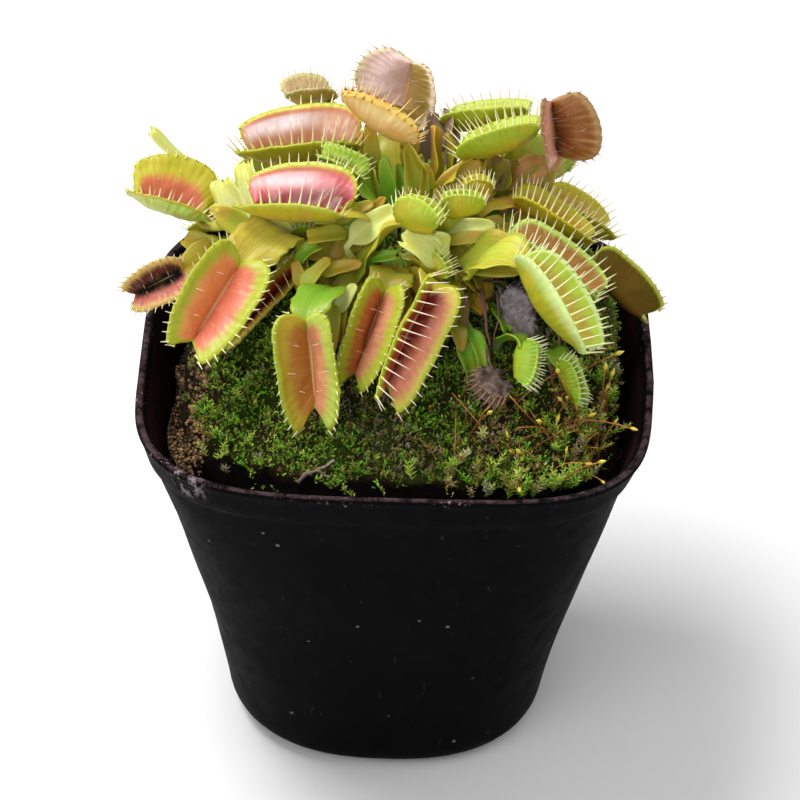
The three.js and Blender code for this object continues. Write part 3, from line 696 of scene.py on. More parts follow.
class Leaf:
    """One leaf's own axes and the middle surfaces of its lobes."""

    def __init__(self, row, number):
        self.row = row
        self.seed = 100 + 17 * number
        self.neck = np.array(row["neck"], float)
        reach = np.array(row["tip"], float) - self.neck
        self.length = float(np.linalg.norm(reach))
        self.along = reach / self.length
        level = unit(UP - self.along * self.along[2])
        self.mouth = turned(level, self.along, row["roll"])
        self.side = np.cross(self.along, self.mouth)
        x, y = row["foot"]
        self.foot = np.array([x, y, float(moss_surface(x, y))])
        self.margin = self._margin()

    def _margin(self):
        """The lobe's outline as closely spaced points with the share of its length run at each."""
        pointed = self.row.get("point", 0.0) * np.array(LOBE_POINT, float)
        shape = (np.array(LOBE_OUTLINE, float) + pointed) * (self.length, self.row["lobe"])
        ends = np.concatenate([shape[:1], shape, shape[-1:]])
        t = np.linspace(0, 1, MARGIN_STEPS, endpoint=False)[:, None]
        points = []
        for a, b, c, d in zip(ends, ends[1:], ends[2:], ends[3:]):
            square, cube = 2 * a - 5 * b + 4 * c - d, 3 * b - a - 3 * c + d
            points.append(0.5 * (2 * b + (c - a) * t + square * t**2 + cube * t**3))
        points = np.concatenate(points + [shape[-1:]])
        run = np.concatenate([[0], np.cumsum(np.linalg.norm(np.diff(points, axis=0), axis=1))])
        return points, run / run[-1]

    def edge(self, shares):
        """Places on the outline, as distances along the midrib and out from it."""
        points, run = self.margin
        return np.stack([np.interp(shares, run, points[:, 0]), np.interp(shares, run, points[:, 1])], -1)

    def on_lobe(self, shares, outs, hand):
        """What at says for places given by shares of the outline's run and shares of the way out to it."""
        edge = self.edge(shares)
        x = lerp(self.length * shares, edge[..., 0], outs)
        return self.at(x, edge[..., 1] * outs, hand)

    def at(self, x, y, hand):
        """Places on a lobe's middle surface with the directions into the trap and outward over the lobe."""
        row = self.row
        curl = math.radians(row["curl"])
        root = math.radians(row["gape"]) / 2 + curl
        bend = -2 * curl / row["lobe"]
        angle = root + bend * y
        rise = (np.sin(angle) - math.sin(root)) / bend
        spread = (math.cos(root) - np.cos(angle)) / bend
        bow = MIDRIB_BOW * self.length * ((2 * x / self.length - 1) ** 2 - 1)
        place = (
            self.neck
            + x[..., None] * self.along
            + (rise + bow)[..., None] * self.mouth
            + (hand * spread)[..., None] * self.side
        )
        inner = np.sin(angle)[..., None] * self.mouth - (hand * np.cos(angle))[..., None] * self.side
        outward = np.cos(angle)[..., None] * self.mouth + (hand * np.sin(angle))[..., None] * self.side
        return place, inner, outward, root


# Lobes: shares run from the neck to the tip or from the midrib, 0, to the margin, 1
LOBE_ROWS = 64
LOBE_COLUMNS = 13
LOBE_SPAN = (0.012, 0.988)
FLARE_FROM = 0.82
LIP_PLACE = 0.93
LIP_REACH = 0.06
WAVE_LENGTH = 7.0
WRINKLE = 0.5
WRINKLE_LENGTH = 3.0
RIB = 0.07
RIB_FROM, RIB_RUN = 0.13, 0.78
VALLEY, VALLEY_HALF = 0.14, 0.7
KEEL, KEEL_HALF = 0.3, 0.6


def ridge(offset, half):
    """A smooth hump, 1 at no offset, whose sides fall away over half."""
    return np.exp(-((offset / half) ** 2))


def add_lobes(shape, leaf, looks):
    """Both lobes as one closed shell, from one margin over the midrib to the other."""
    row = leaf.row
    shares = np.linspace(*LOBE_SPAN, LOBE_ROWS)[:, None]
    outs = np.linspace(0, 1, LOBE_COLUMNS) ** 0.9
    signed = np.concatenate([-outs[:0:-1], outs])
    v = np.abs(signed)[None, :] * np.ones((LOBE_ROWS, 1))
    hand = np.where(signed < 0, -1.0, 1.0)[None, :] * np.ones((LOBE_ROWS, 1))
    run = shares * np.ones_like(v)
    place, inner, _, root = leaf.on_lobe(shares, v, hand)
    inner = np.where((v == 0)[..., None], leaf.mouth / math.sin(root), inner)
    place = place - inner * (looks.lip_flare * smoothstep(FLARE_FROM, 1, v) ** 2)[..., None]
    place = place + inner * (looks.unevenness * ripples(place, WAVE_LENGTH, leaf.seed))[..., None]
    if SKINS[row["skin"]]["dead"]:
        place = place + inner * (WRINKLE * ripples(place, WRINKLE_LENGTH, leaf.seed + 1))[..., None]
    ribs = RIB * np.cos(2 * math.pi * (run - RIB_FROM) * row["teeth"] / RIB_RUN) * smoothstep(0.45, 0.9, v)
    place = place + inner * ribs[..., None]
    thick = looks.blade * (0.35 + 0.65 * np.sqrt(np.clip(1 - v**3, 0, 1)))
    arch = np.sin(math.pi * run) ** 0.7
    lip = looks.lip * ridge(v - LIP_PLACE, LIP_REACH) * arch
    pad = looks.pad * row["lobe"] * arch * np.sin(math.pi * np.clip(v * 1.12, 0, 1)) ** 1.2
    valley = VALLEY * ridge(v * row["lobe"], VALLEY_HALF)
    keel = KEEL * ridge(v * row["lobe"], KEEL_HALF) * (1 - 0.5 * run)
    top = place + inner * (thick / 2 + pad - valley + lip)[..., None]
    bottom = place - inner * (thick / 2 + keel)[..., None]
    columns = len(signed)
    count = LOBE_ROWS * columns
    faces = grid_faces(LOBE_ROWS, columns) + grid_faces(LOBE_ROWS, columns, count, flip=True)
    borders = [(r * columns + c, columns, c > 0) for r in range(LOBE_ROWS - 1) for c in (0, columns - 1)]
    borders += [(r * columns + c, 1, r == 0) for r in (0, LOBE_ROWS - 1) for c in range(columns - 1)]
    for a, step, turn in borders:
        quad = (a, a + step, count + a + step, count + a)
        faces.append(quad[::-1] if turn else quad)
    ends = np.abs(2 * run - 1.04)
    heart = (v**2.6 + ends**5) ** (1 / 2.6)
    shape.add(
        np.concatenate([top.reshape(-1, 3), bottom.reshape(-1, 3)]),
        faces,
        run=np.tile(run.ravel(), 2),
        rim=np.tile(v.ravel(), 2),
        heart=np.tile(heart.ravel(), 2),
        inside=np.repeat([1.0, 0.0], count),
        second=np.tile((hand < 0).ravel().astype(float), 2),
        lobe=1.0,
    )


# Teeth and hairs
TEETH_FROM, TEETH_RUN = 0.1, 0.82
TOOTH_SUNK = 0.4
TOOTH_WANDER = 0.07
TOOTH_STEPS = np.array([0, 0.06, 0.12, 0.2, 0.38, 0.6, 0.82, 1.0])
TOOTH_BEAD = np.array([0.8, 1.0, 0.8])
TOOTH_TAPER = np.array([0.95, 0.75, 0.58, 0.4, 0.14])
HAIR_PLACES = ((0.32, 0.5), (0.66, 0.5), (0.5, 0.74))
HAIR_RADII = (0.09, 0.07, 0.05, 0.02)


def add_teeth(shape, leaf, looks):
    """Tapered teeth on beads along both margins, longest in the middle and fanned out toward the ends."""
    row = leaf.row
    draw = np.random.default_rng(leaf.seed + 5)
    count = row["teeth"]
    width = looks.tooth_width * (0.75 + 0.03 * row["lobe"])
    bead = looks.bead / width * 2
    radii = width / 2 * np.concatenate([bead * TOOTH_BEAD, TOOTH_TAPER])
    sway = 0.5 * (np.sin(math.pi * TOOTH_STEPS / 2) * (1 - TOOTH_STEPS) + TOOTH_STEPS**2)
    for hand, lean, comb in zip((1.0, -1.0), row.get("lean", USUAL_LEAN), row.get("comb", USUAL_COMB)):
        shift = 0.25 if hand > 0 else 0.75
        shares = TEETH_FROM + TEETH_RUN * (np.arange(count) + shift) / count
        for share, (x, y) in zip(shares, leaf.edge(shares)):
            place, inner, outward, _ = leaf.at(x, y, hand)
            fan = TOOTH_FAN * (x / leaf.length - 0.5)
            swell = math.sin(math.pi * share) ** 0.45
            heading = unit(outward + leaf.along * fan + inner * lean * swell)
            length = row["tooth"] * comb * (0.4 + 0.6 * swell) * draw.uniform(0.82, 1.1)
            wander = unit(draw.normal(size=3)) * TOOTH_WANDER * length
            start = place - outward * TOOTH_SUNK - inner * looks.lip_flare * 0.6
            end = start + heading * (length + TOOTH_SUNK) + wander
            bend = outward * TOOTH_SUNK * (1 - lean) + inner * looks.tooth_bend * length
            path = lerp(start, end, TOOTH_STEPS[:, None]) + bend * sway[:, None]
            tube(
                shape, path, radii, sides=5,
                run=share, rim=1.0 + TOOTH_STEPS, inside=0.0, lobe=1.0, tooth=TOOTH_STEPS + 0.02,
            )


def add_trigger_hairs(shape, leaf):
    """Three fine hairs on the inner face of each lobe."""
    heights = np.linspace(0.2, 0.2 * leaf.row["lobe"] + 0.9, len(HAIR_RADII))
    for hand in (1.0, -1.0):
        for share, out in HAIR_PLACES:
            place, inner, _, _ = leaf.on_lobe(share, out, hand)
            path = place + inner * heights[:, None]
            tube(shape, path, HAIR_RADII, sides=4, run=share, rim=out, inside=0.0, lobe=1.0, tooth=0.4)


# Stalks
STALK_ROWS = 30
STALK_COLUMNS = 13
NOTCH = 0.05
GROOVE, GROOVE_HALF = 0.18, 0.6
STALK_KEEL, STALK_KEEL_HALF = 0.52, 0.75


def faced(middle, normal, top, bottom):
    """Rings round a flat blade: an upper and a lower face, each off its middle surface along the normal."""
    upper = middle + normal[:, None, :] * top[..., None]
    lower = middle + normal[:, None, :] * bottom[..., None]
    return np.concatenate([upper, lower[:, ::-1]], axis=1)


def add_stalk(shape, leaf, looks):
    """The winged stalk, from its socket in the moss to the neck."""
    row = leaf.row
    start = leaf.foot + UP * STALK_LEDGE
    reach = leaf.neck - start
    level = reach * FLAT
    first = start + level * STALK_LEAN + UP * row["lift"]
    second = leaf.neck - leaf.along * STALK_APPROACH * np.linalg.norm(reach)
    t = np.linspace(0, 1, STALK_ROWS)
    path = bezier(start, first, second, leaf.neck + leaf.along * STALK_PAST, t)
    heading = unit(np.gradient(path, axis=0))
    flat = unit(np.cross(level, UP))
    across = []
    for share, tangent in zip(t, heading):
        side = lerp(turned(flat, tangent, row.get("twist", 0)), leaf.side, share)
        across.append(unit(side - tangent * np.dot(side, tangent)))
    across = np.array(across)
    normal = np.cross(across, heading)

    swell = np.clip(np.sin(math.pi * t**1.4), 0, 1) ** 0.8
    base = lerp(STALK_FOOT, STALK_NECK, t)
    half = base + np.maximum(row["wing"] / 2 - base, 0) * swell
    s = np.linspace(-1, 1, STALK_COLUMNS)
    draw = np.random.default_rng(leaf.seed + 9)
    phase = draw.uniform(0, 2 * math.pi, 2)[np.where(s < 0, 0, 1)]
    beats = 2 * math.pi * draw.uniform(2.2, 3.2) * t[:, None]
    wave = np.sin(beats + phase) * np.abs(s) ** 2.2 * looks.wing_wave * np.maximum(half - base, 0)[:, None]
    notch = 1 + NOTCH * np.sin(2.3 * beats + phase) * np.abs(s) ** 3
    u = s * half[:, None] * notch
    dip = STALK_FOLD * np.maximum(half - STALK_NECK, 0)
    rise = wave - dip[:, None] * (1 - np.abs(s)) ** 1.25
    thick = looks.blade * 0.42 * np.sqrt(np.clip(1.06 - np.abs(s) ** 3, 0, 1))
    top = rise + thick - GROOVE * ridge(u, GROOVE_HALF) * (swell[:, None] > 0.2)
    bottom = rise - thick - STALK_KEEL * ridge(u, STALK_KEEL_HALF)
    ring = faced(path[:, None, :] + across[:, None, :] * u[..., None], normal, top, bottom)
    buried = ring[0] - UP * (STALK_BURIED + STALK_LEDGE)
    rings = np.concatenate([buried[None], ring])
    points, faces = fanned(rings, rings[[0, -1]].mean(1))
    run = np.repeat(np.concatenate([[0], t]), 2 * STALK_COLUMNS)
    rim = np.tile(np.concatenate([np.abs(s), np.abs(s[::-1])]), len(rings))
    ends = {"run": np.concatenate([run, [0, 1]]), "rim": np.concatenate([rim, [0, 0]])}
    shape.add(points, faces, inside=0.0, lobe=0.0, **ends)


# Materials
class Paint:
    """A Principled material with short ways to add the nodes behind its colour, roughness and relief."""

    def __init__(self, name, roughness, specular):
        self.material = bpy.data.materials.new(name)
        self.material.use_nodes = True
        self.tree = self.material.node_tree
        self.shader = self.tree.nodes["Principled BSDF"]
        self.shader.inputs["Roughness"].default_value = roughness
        self.shader.inputs["Specular IOR Level"].default_value = specular

    def put(self, socket, value):
        """Sets a socket to a colour or number, or links it to another node's output."""
        if isinstance(value, bpy.types.NodeSocket):
            self.tree.links.new(value, socket)
        elif isinstance(value, (tuple, list)) and len(value) == 3 and socket.type == "RGBA":
            socket.default_value = (*value, 1.0)
        else:
            socket.default_value = value

    def value(self, name):
        """A value stored on the points of the mesh."""
        node = self.tree.nodes.new("ShaderNodeAttribute")
        node.attribute_name = name
        return node.outputs["Fac"]

    def place(self):
        return self.tree.nodes.new("ShaderNodeTexCoord").outputs["Object"]

    def split(self, vector):
        node = self.tree.nodes.new("ShaderNodeSeparateXYZ")
        self.put(node.inputs[0], vector)
        return node.outputs

    def join(self, x, y, z):
        node = self.tree.nodes.new("ShaderNodeCombineXYZ")
        for socket, value in zip(node.inputs, (x, y, z)):
            self.put(socket, value)
        return node.outputs[0]

    def maths(self, operation, first, second):
        node = self.tree.nodes.new("ShaderNodeMath")
        node.operation = operation
        self.put(node.inputs[0], first)
        self.put(node.inputs[1], second)
        return node.outputs[0]

    def plus(self, first, second):
        return self.maths("ADD", first, second)

    def times(self, first, second):
        return self.maths("MULTIPLY", first, second)

    def stretched(self, place, *sizes):
        """The place with each of its coordinates multiplied by its own size."""
        return self.join(*[self.times(self.split(place)[axis], size) for axis, size in enumerate(sizes)])

    def span(self, value, low, high, start=0.0, end=1.0):
        """Runs smoothly from start to end while value runs from low to high."""
        node = self.tree.nodes.new("ShaderNodeMapRange")
        node.interpolation_type = "SMOOTHSTEP"
        for socket, setting in zip(node.inputs, (value, low, high, start, end)):
            self.put(socket, setting)
        return node.outputs[0]

    def reach(self, coordinate, low, high):
        """Runs smoothly from 0 to 1 while a coordinate runs between two places in mm."""
        return self.span(coordinate, low * MM, high * MM)

    def noise(self, scale, vector=None, detail=3.0, roughness=0.55):
        node = self.tree.nodes.new("ShaderNodeTexNoise")
        self.put(node.inputs["Vector"], vector if vector is not None else self.place())
        node.inputs["Scale"].default_value = scale
        node.inputs["Detail"].default_value = detail
        node.inputs["Roughness"].default_value = roughness
        return node.outputs["Fac"]

    def cells(self, scale, vector):
        node = self.tree.nodes.new("ShaderNodeTexVoronoi")
        self.put(node.inputs["Vector"], vector)
        node.inputs["Scale"].default_value = scale
        return node.outputs["Distance"]

    def mix(self, share, first, second):
        node = self.tree.nodes.new("ShaderNodeMix")
        node.data_type = "RGBA"
        self.put(node.inputs["Factor"], share)
        self.put(node.inputs[6], first)
        self.put(node.inputs[7], second)
        return node.outputs[2]

    def ramp(self, value, *stops):
        """Colours along a value, each stop a position and its colour."""
        node = self.tree.nodes.new("ShaderNodeValToRGB")
        self.put(node.inputs[0], value)
        elements = node.color_ramp.elements
        elements.remove(elements[1])
        for number, (position, colour) in enumerate(stops):
            stop = elements[0] if number == 0 else elements.new(position)
            stop.position = position
            stop.color = (*colour, 1.0)
        return node.outputs[0]

    def colour(self, value):
        self.put(self.shader.inputs["Base Color"], value)

    def roughness(self, value):
        self.put(self.shader.inputs["Roughness"], value)

    def relief(self, height, depth, strength):
        node = self.tree.nodes.new("ShaderNodeBump")
        node.inputs["Strength"].default_value = strength
        node.inputs["Distance"].default_value = depth * MM
        self.put(node.inputs["Height"], height)
        self.put(self.shader.inputs["Normal"], node.outputs[0])

    def glow(self, weight, reach):
        """Lets light through the surface, by weight, over a reach in mm."""
        self.shader.inputs["Subsurface Weight"].default_value = weight
        self.shader.inputs["Subsurface Radius"].default_value = (1.0, 0.8, 0.3)
        self.shader.inputs["Subsurface Scale"].default_value = reach * MM


def darker(colour):
    """The colour at two fifths of its brightness."""
    return tuple(0.4 * part for part in colour)


def leaf_paint(name, look, seed):
    """Leaf tissue: veined green outside, a flushed heart inside the lobes, a bright rim and pale teeth."""
    paint = Paint(name, look["gloss"], look["wet"])
    run, rim = paint.value("run"), paint.value("rim")
    heart, tooth = paint.value("heart"), paint.value("tooth")
    streaks = paint.noise(1.0, paint.join(paint.times(run, 34.0), paint.times(rim, 1.6), seed))
    lines = paint.noise(1.0, paint.join(paint.times(rim, 16.0), paint.times(run, 2.2), seed))
    blotches = paint.noise(260.0, detail=4.0)
    mottle = paint.noise(900.0, detail=3.0)

    # Outside of the lobes
    flush = paint.plus(paint.span(rim, 1.0, 0.15, 0.0, 0.55), paint.span(blotches, 0.42, 0.68, 0.0, 0.6))
    second = paint.value("second")
    outer = paint.mix(second, look["outer"], look["outer_other"])
    outer = paint.mix(flush, outer, look["outer_flush"])
    shade = 0.5 if look["dead"] else 0.2
    outer = paint.mix(paint.span(streaks, 0.35, 0.6, shade, 0.0), outer, darker(look["outer"]))
    # The outer margin's band in the skin's edge colour; on dewy it is a painted highlight.
    outer = paint.mix(paint.span(rim, look["edge_from"], 0.98), outer, look["edge"])

    # Inside of the lobes
    uneven = paint.times(paint.maths("SUBTRACT", streaks, 0.5), 0.34)
    reach = paint.plus(heart, uneven)
    hearts = paint.mix(second, look["heart"], look["heart_other"])
    slant, start, end = look["low"]
    low = paint.plus(rim, paint.times(run, slant))
    flesh = paint.mix(paint.span(low, start, end, 0.0, look["depth"]), hearts, look["deep"])
    flesh = paint.mix(paint.span(streaks, 0.5, 0.68, 0.0, 0.2), flesh, look["vein"])
    flesh = paint.mix(paint.span(mottle, 0.35, 0.7, 0.0, 0.2), flesh, look["deep"])
    # A pale band on the first lobe's inner face: a painted highlight.
    if look["glaze"]:
        band = paint.times(paint.span(rim, 0.45, 0.72), paint.span(rim, 0.92, 0.84))
        patch = paint.times(paint.span(run, 0.3, 0.55), paint.span(run, 0.95, 0.7))
        shine = paint.times(paint.times(band, patch), look["glaze"])
        flesh = paint.mix(paint.times(shine, paint.span(second, 0.6, 0.4)), flesh, look["shine"])
    rims = paint.mix(second, look["rim"], look["rim_other"])
    inner = paint.mix(paint.span(reach, look["band"] - 0.16, look["band"] + 0.1), flesh, rims)
    if look["fringe"]:
        inner = paint.mix(paint.span(rim, 0.82, 0.9, 0.0, 0.85), inner, look["fringe"])
    inner = paint.mix(paint.span(rim, 0.9, 0.97), inner, look["edge"])
    inner = paint.mix(paint.span(rim, 0.08, 0.0, 0.0, 0.75), inner, look["vein"])

    # Stalk
    stalk_flush = paint.plus(paint.span(run, 0.35, 1.0, 0.0, 0.6), paint.span(blotches, 0.45, 0.7, 0.0, 0.5))
    stalk = paint.mix(stalk_flush, look["stalk"], look["stalk_flush"])
    stalk = paint.mix(paint.span(lines, 0.38, 0.58, 0.25, 0.0), stalk, (0.12, 0.16, 0.01))
    stalk = paint.mix(paint.span(rim, 0.9, 1.0, 0.0, 0.5), stalk, look["rim"])
    stalk = paint.mix(paint.span(run, 0.22, 0.0, 0.0, 0.6), stalk, look["base"])

    # The whole leaf
    tissue = paint.mix(paint.value("inside"), outer, inner)
    tissue = paint.mix(paint.value("lobe"), stalk, tissue)
    tissue = paint.mix(paint.span(tooth, 0.0, 0.02), tissue, look["bead"])
    tissue = paint.mix(paint.span(tooth, 0.1, 0.34), tissue, look["tooth"])
    paint.colour(tissue)
    height = paint.plus(paint.times(streaks, 0.5), paint.times(mottle, 0.5))
    if look["dead"]:
        grain = paint.noise(1100.0, detail=4.0)
        paint.colour(paint.mix(paint.span(grain, 0.42, 0.66, 0.0, 0.6), tissue, look["dust"]))
        paint.relief(paint.plus(height, grain), 0.25, 0.6)
    else:
        paint.roughness(paint.span(mottle, 0.3, 0.7, look["gloss"] - 0.06, look["gloss"] + 0.12))
        paint.relief(height, 0.16, 0.5)
        paint.glow(0.22, 1.4)
        paint.shader.inputs["Coat Weight"].default_value = look["coat"]
        paint.shader.inputs["Coat Roughness"].default_value = 0.18
    return paint.material


# The rubbed front left corner of the rim: where its wear begins and is full along x, y and z
RUBBED_ACROSS = (-30.0, -33.5)
RUBBED_ALONG = (-36.0, -38.5)
RUBBED_RISE = (65.5, 68.5)


def plastic_paint(settings):
    """Satin black plastic, dusty in places, with fine scratches and a paler line along the rim's top edge,
    partly scuffs and partly a painted highlight.
    """
    paint = Paint("black_plastic", 0.5, 0.02)
    place = paint.place()
    height = paint.split(place)[2]
    cloud = paint.noise(45.0, place, detail=4.0)
    film = paint.noise(220.0, place, detail=6.0, roughness=0.7)
    dust = paint.times(paint.span(cloud, 0.45, 0.75), paint.span(film, 0.4, 0.75, 0.0, 0.5))
    colour = paint.mix(dust, tuple(settings.plastic), (0.007, 0.0065, 0.0068))
    upright = paint.stretched(place, 900.0, 900.0, 60.0)
    scratches = paint.span(paint.noise(1.0, upright, detail=2.0), 0.68, 0.74)
    colour = paint.mix(paint.times(scratches, 0.12), colour, (0.08, 0.07, 0.07))
    specks = paint.times(paint.span(paint.cells(210.0, place), 0.10, 0.04), paint.span(cloud, 0.5, 0.56))
    colour = paint.mix(paint.times(specks, 0.55), colour, (0.24, 0.20, 0.17))
    # The pale line along the rim's top edge is partly scuffs and partly a painted highlight on the rounded
    # lip.
    chips = paint.span(paint.noise(420.0, place, detail=5.0, roughness=0.7), 0.36, 0.66)
    edge = paint.reach(height, POT_HEIGHT - 0.35, POT_HEIGHT - 0.05)
    worn_and_highlit = paint.times(edge, chips)
    colour = paint.mix(paint.times(worn_and_highlit, settings.wear), colour, tuple(settings.scuff_and_highlight))
    flecks = paint.span(paint.noise(1500.0, place, detail=3.0, roughness=0.6), 0.60, 0.66)
    patches = paint.span(paint.noise(70.0, place, detail=2.0), 0.5, 0.6)
    lip = paint.reach(height, POT_HEIGHT - 1.6, POT_HEIGHT - 0.6)
    flecks = paint.times(paint.times(flecks, patches), lip)
    colour = paint.mix(paint.times(flecks, 0.8), colour, (0.34, 0.19, 0.20))
    across, along, _ = paint.split(place)
    corner = paint.times(paint.reach(across, *RUBBED_ACROSS), paint.reach(along, *RUBBED_ALONG))
    corner = paint.times(corner, paint.reach(height, *RUBBED_RISE))
    rubbed = paint.join(paint.times(across, 900.0), paint.times(along, 900.0), paint.times(height, 380.0))
    rubbed = paint.span(paint.noise(1.0, rubbed, detail=4.0, roughness=0.7), 0.5, 0.64)
    colour = paint.mix(paint.times(paint.times(corner, rubbed), 0.6), colour, (0.36, 0.29, 0.32))
    soiled = paint.times(paint.value("inner"), paint.span(cloud, 0.3, 0.6, 0.4, 1.0))
    colour = paint.mix(soiled, colour, (0.020, 0.0075, 0.009))
    paint.colour(colour)
    paint.roughness(paint.span(film, 0.3, 0.75, 0.5, 0.7))
    paint.relief(paint.plus(film, paint.times(worn_and_highlit, 0.6)), 0.06, 0.25)
    return paint.material


def peat_paint():
    """Damp dark peat with browner grains and fibres."""
    paint = Paint("damp_peat", 0.85, 0.3)
    grains = paint.noise(700.0, detail=6.0, roughness=0.7)
    clods = paint.noise(160.0, detail=3.0)
    dark, middle, pale = (0.006, 0.004, 0.003), (0.022, 0.012, 0.007), (0.075, 0.04, 0.02)
    colour = paint.ramp(grains, (0.3, dark), (0.52, middle), (0.75, pale))
    paint.colour(paint.mix(paint.span(clods, 0.5, 0.7, 0.0, 0.5), colour, (0.012, 0.006, 0.005)))
    paint.roughness(paint.span(grains, 0.3, 0.7, 0.7, 0.95))
    paint.relief(paint.plus(grains, clods), 0.6, 0.8)
    return paint.material


def moss_bed_paint():
    """The shaded mat under the shoots: old brown stems with green growing through. Where it is bare it is
    dark brown, at the cushion's side both old stems and painted shade, and along its front it is near black,
    a painted shadow in the crevice.
    """
    paint = Paint("moss_mat", 0.95, 0.05)
    fibres = paint.noise(1500.0, detail=5.0, roughness=0.7)
    patches = paint.noise(120.0, detail=3.0)
    greens = (0.008, 0.014, 0.003), (0.03, 0.055, 0.006), (0.09, 0.14, 0.015)
    browns = (0.010, 0.006, 0.003), (0.035, 0.022, 0.009), (0.09, 0.06, 0.024)
    green = paint.ramp(fibres, *zip((0.3, 0.55, 0.8), greens))
    brown = paint.ramp(fibres, *zip((0.3, 0.55, 0.8), browns))
    mat = paint.mix(paint.span(patches, 0.42, 0.62), green, brown)
    # Bare mat: dark brown old stems; on the cushion's side this dark colour is also painted shade for the gap
    # by the wall.
    side = paint.ramp(fibres, (0.35, (0.004, 0.002, 0.001)), (0.7, (0.05, 0.032, 0.016)))
    mat = paint.mix(paint.value("bare"), mat, side)
    # Near black along the front: painted shadow in the crevice between the moss and the rim.
    paint.colour(paint.mix(paint.value("crevice"), mat, (0.0012, 0.0007, 0.0004)))
    paint.relief(paint.plus(fibres, patches), 0.6, 0.9)
    return paint.material


# Colours of the shoots' tips and roots along their tone
MOSS_TIPS = (
    (0.0, (0.62, 0.56, 0.50)),
    (0.16, (0.34, 0.25, 0.17)),
    (0.30, (0.48, 0.36, 0.06)),
    (0.42, (0.34, 0.46, 0.04)),
    (0.60, (0.22, 0.72, 0.03)),
    (0.76, (0.58, 0.86, 0.08)),
    (0.9, (0.84, 0.84, 0.20)),
    (1.0, (0.90, 0.88, 0.56)),
)
MOSS_ROOTS = (
    (0.0, (0.04, 0.028, 0.024)),
    (0.3, (0.06, 0.035, 0.010)),
    (0.6, (0.03, 0.09, 0.004)),
    (1.0, (0.14, 0.14, 0.02)),
)


def moss_shoot_paint(name):
    """Moss leaves. Their hue follows the tone of each shoot, and they darken toward the root."""
    paint = Paint(name, 0.6, 0.2)
    tone, rise = paint.value("tone"), paint.value("rise")
    paint.colour(paint.mix(rise, paint.ramp(tone, *MOSS_ROOTS), paint.ramp(tone, *MOSS_TIPS)))
    paint.roughness(paint.span(rise, 0.0, 1.0, 0.8, 0.5))
    paint.glow(0.15, 0.8)
    return paint.material


def strand_paint(name, root, tip, roughness):
    """Thin stems and fibres that change colour from root to tip."""
    paint = Paint(name, roughness, 0.4)
    grain = paint.noise(1200.0, detail=3.0)
    colour = paint.mix(paint.value("rise"), root, tip)
    paint.colour(paint.mix(paint.span(grain, 0.45, 0.7, 0.0, 0.35), colour, darker(root)))
    paint.relief(grain, 0.1, 0.5)
    return paint.material


# Pieces
def put_on(piece, slot, *nodes):
    """Fixes a finished piece to the part and hides the solids that it stands for."""
    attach(piece, BODY)
    if nodes:
        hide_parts(*nodes)


def add_piece(shape, name, material, slot, *nodes, smooth=True):
    """Builds a shape and puts it on the part."""
    put_on(shape.build(name, material, smooth), slot, *nodes)


def applied(piece):
    """Bakes a piece's modifiers into its mesh."""
    bpy.context.view_layer.update()
    graph = bpy.context.evaluated_depsgraph_get()
    mesh = bpy.data.meshes.new_from_object(piece.evaluated_get(graph))
    piece.modifiers.clear()
    piece.data = mesh


def in_mm(group):
    """A settings group's values, with its lengths in millimetres."""
    values = {}
    for name in group.__annotations__:
        value = getattr(group, name)
        values[name] = value / MM if group.bl_rna.properties[name].unit == "LENGTH" else value
    return SimpleNamespace(**values)


# Pot: heights of its rings outside below the band, and inside
POT_COLUMNS = 160
POT_OUTER_HEIGHTS = (0.0, 0.3, 0.9, 1.8, 3.0, 4.2, 5.0, 8, 12, 17, 22, 27, 32, 37, 42, 47, 52, 57, 61, 64)
POT_INNER_HEIGHTS = (70.0, 66, 62, 58, 54, 48, 40, 30, 20, 12, POT_FOOT_ROUND + POT_FLOOR)
LIP_STEPS = 6
LIP_PROUD = 0.15
SAG_LENGTH = 46.0
PLUG_PAST = 1.0


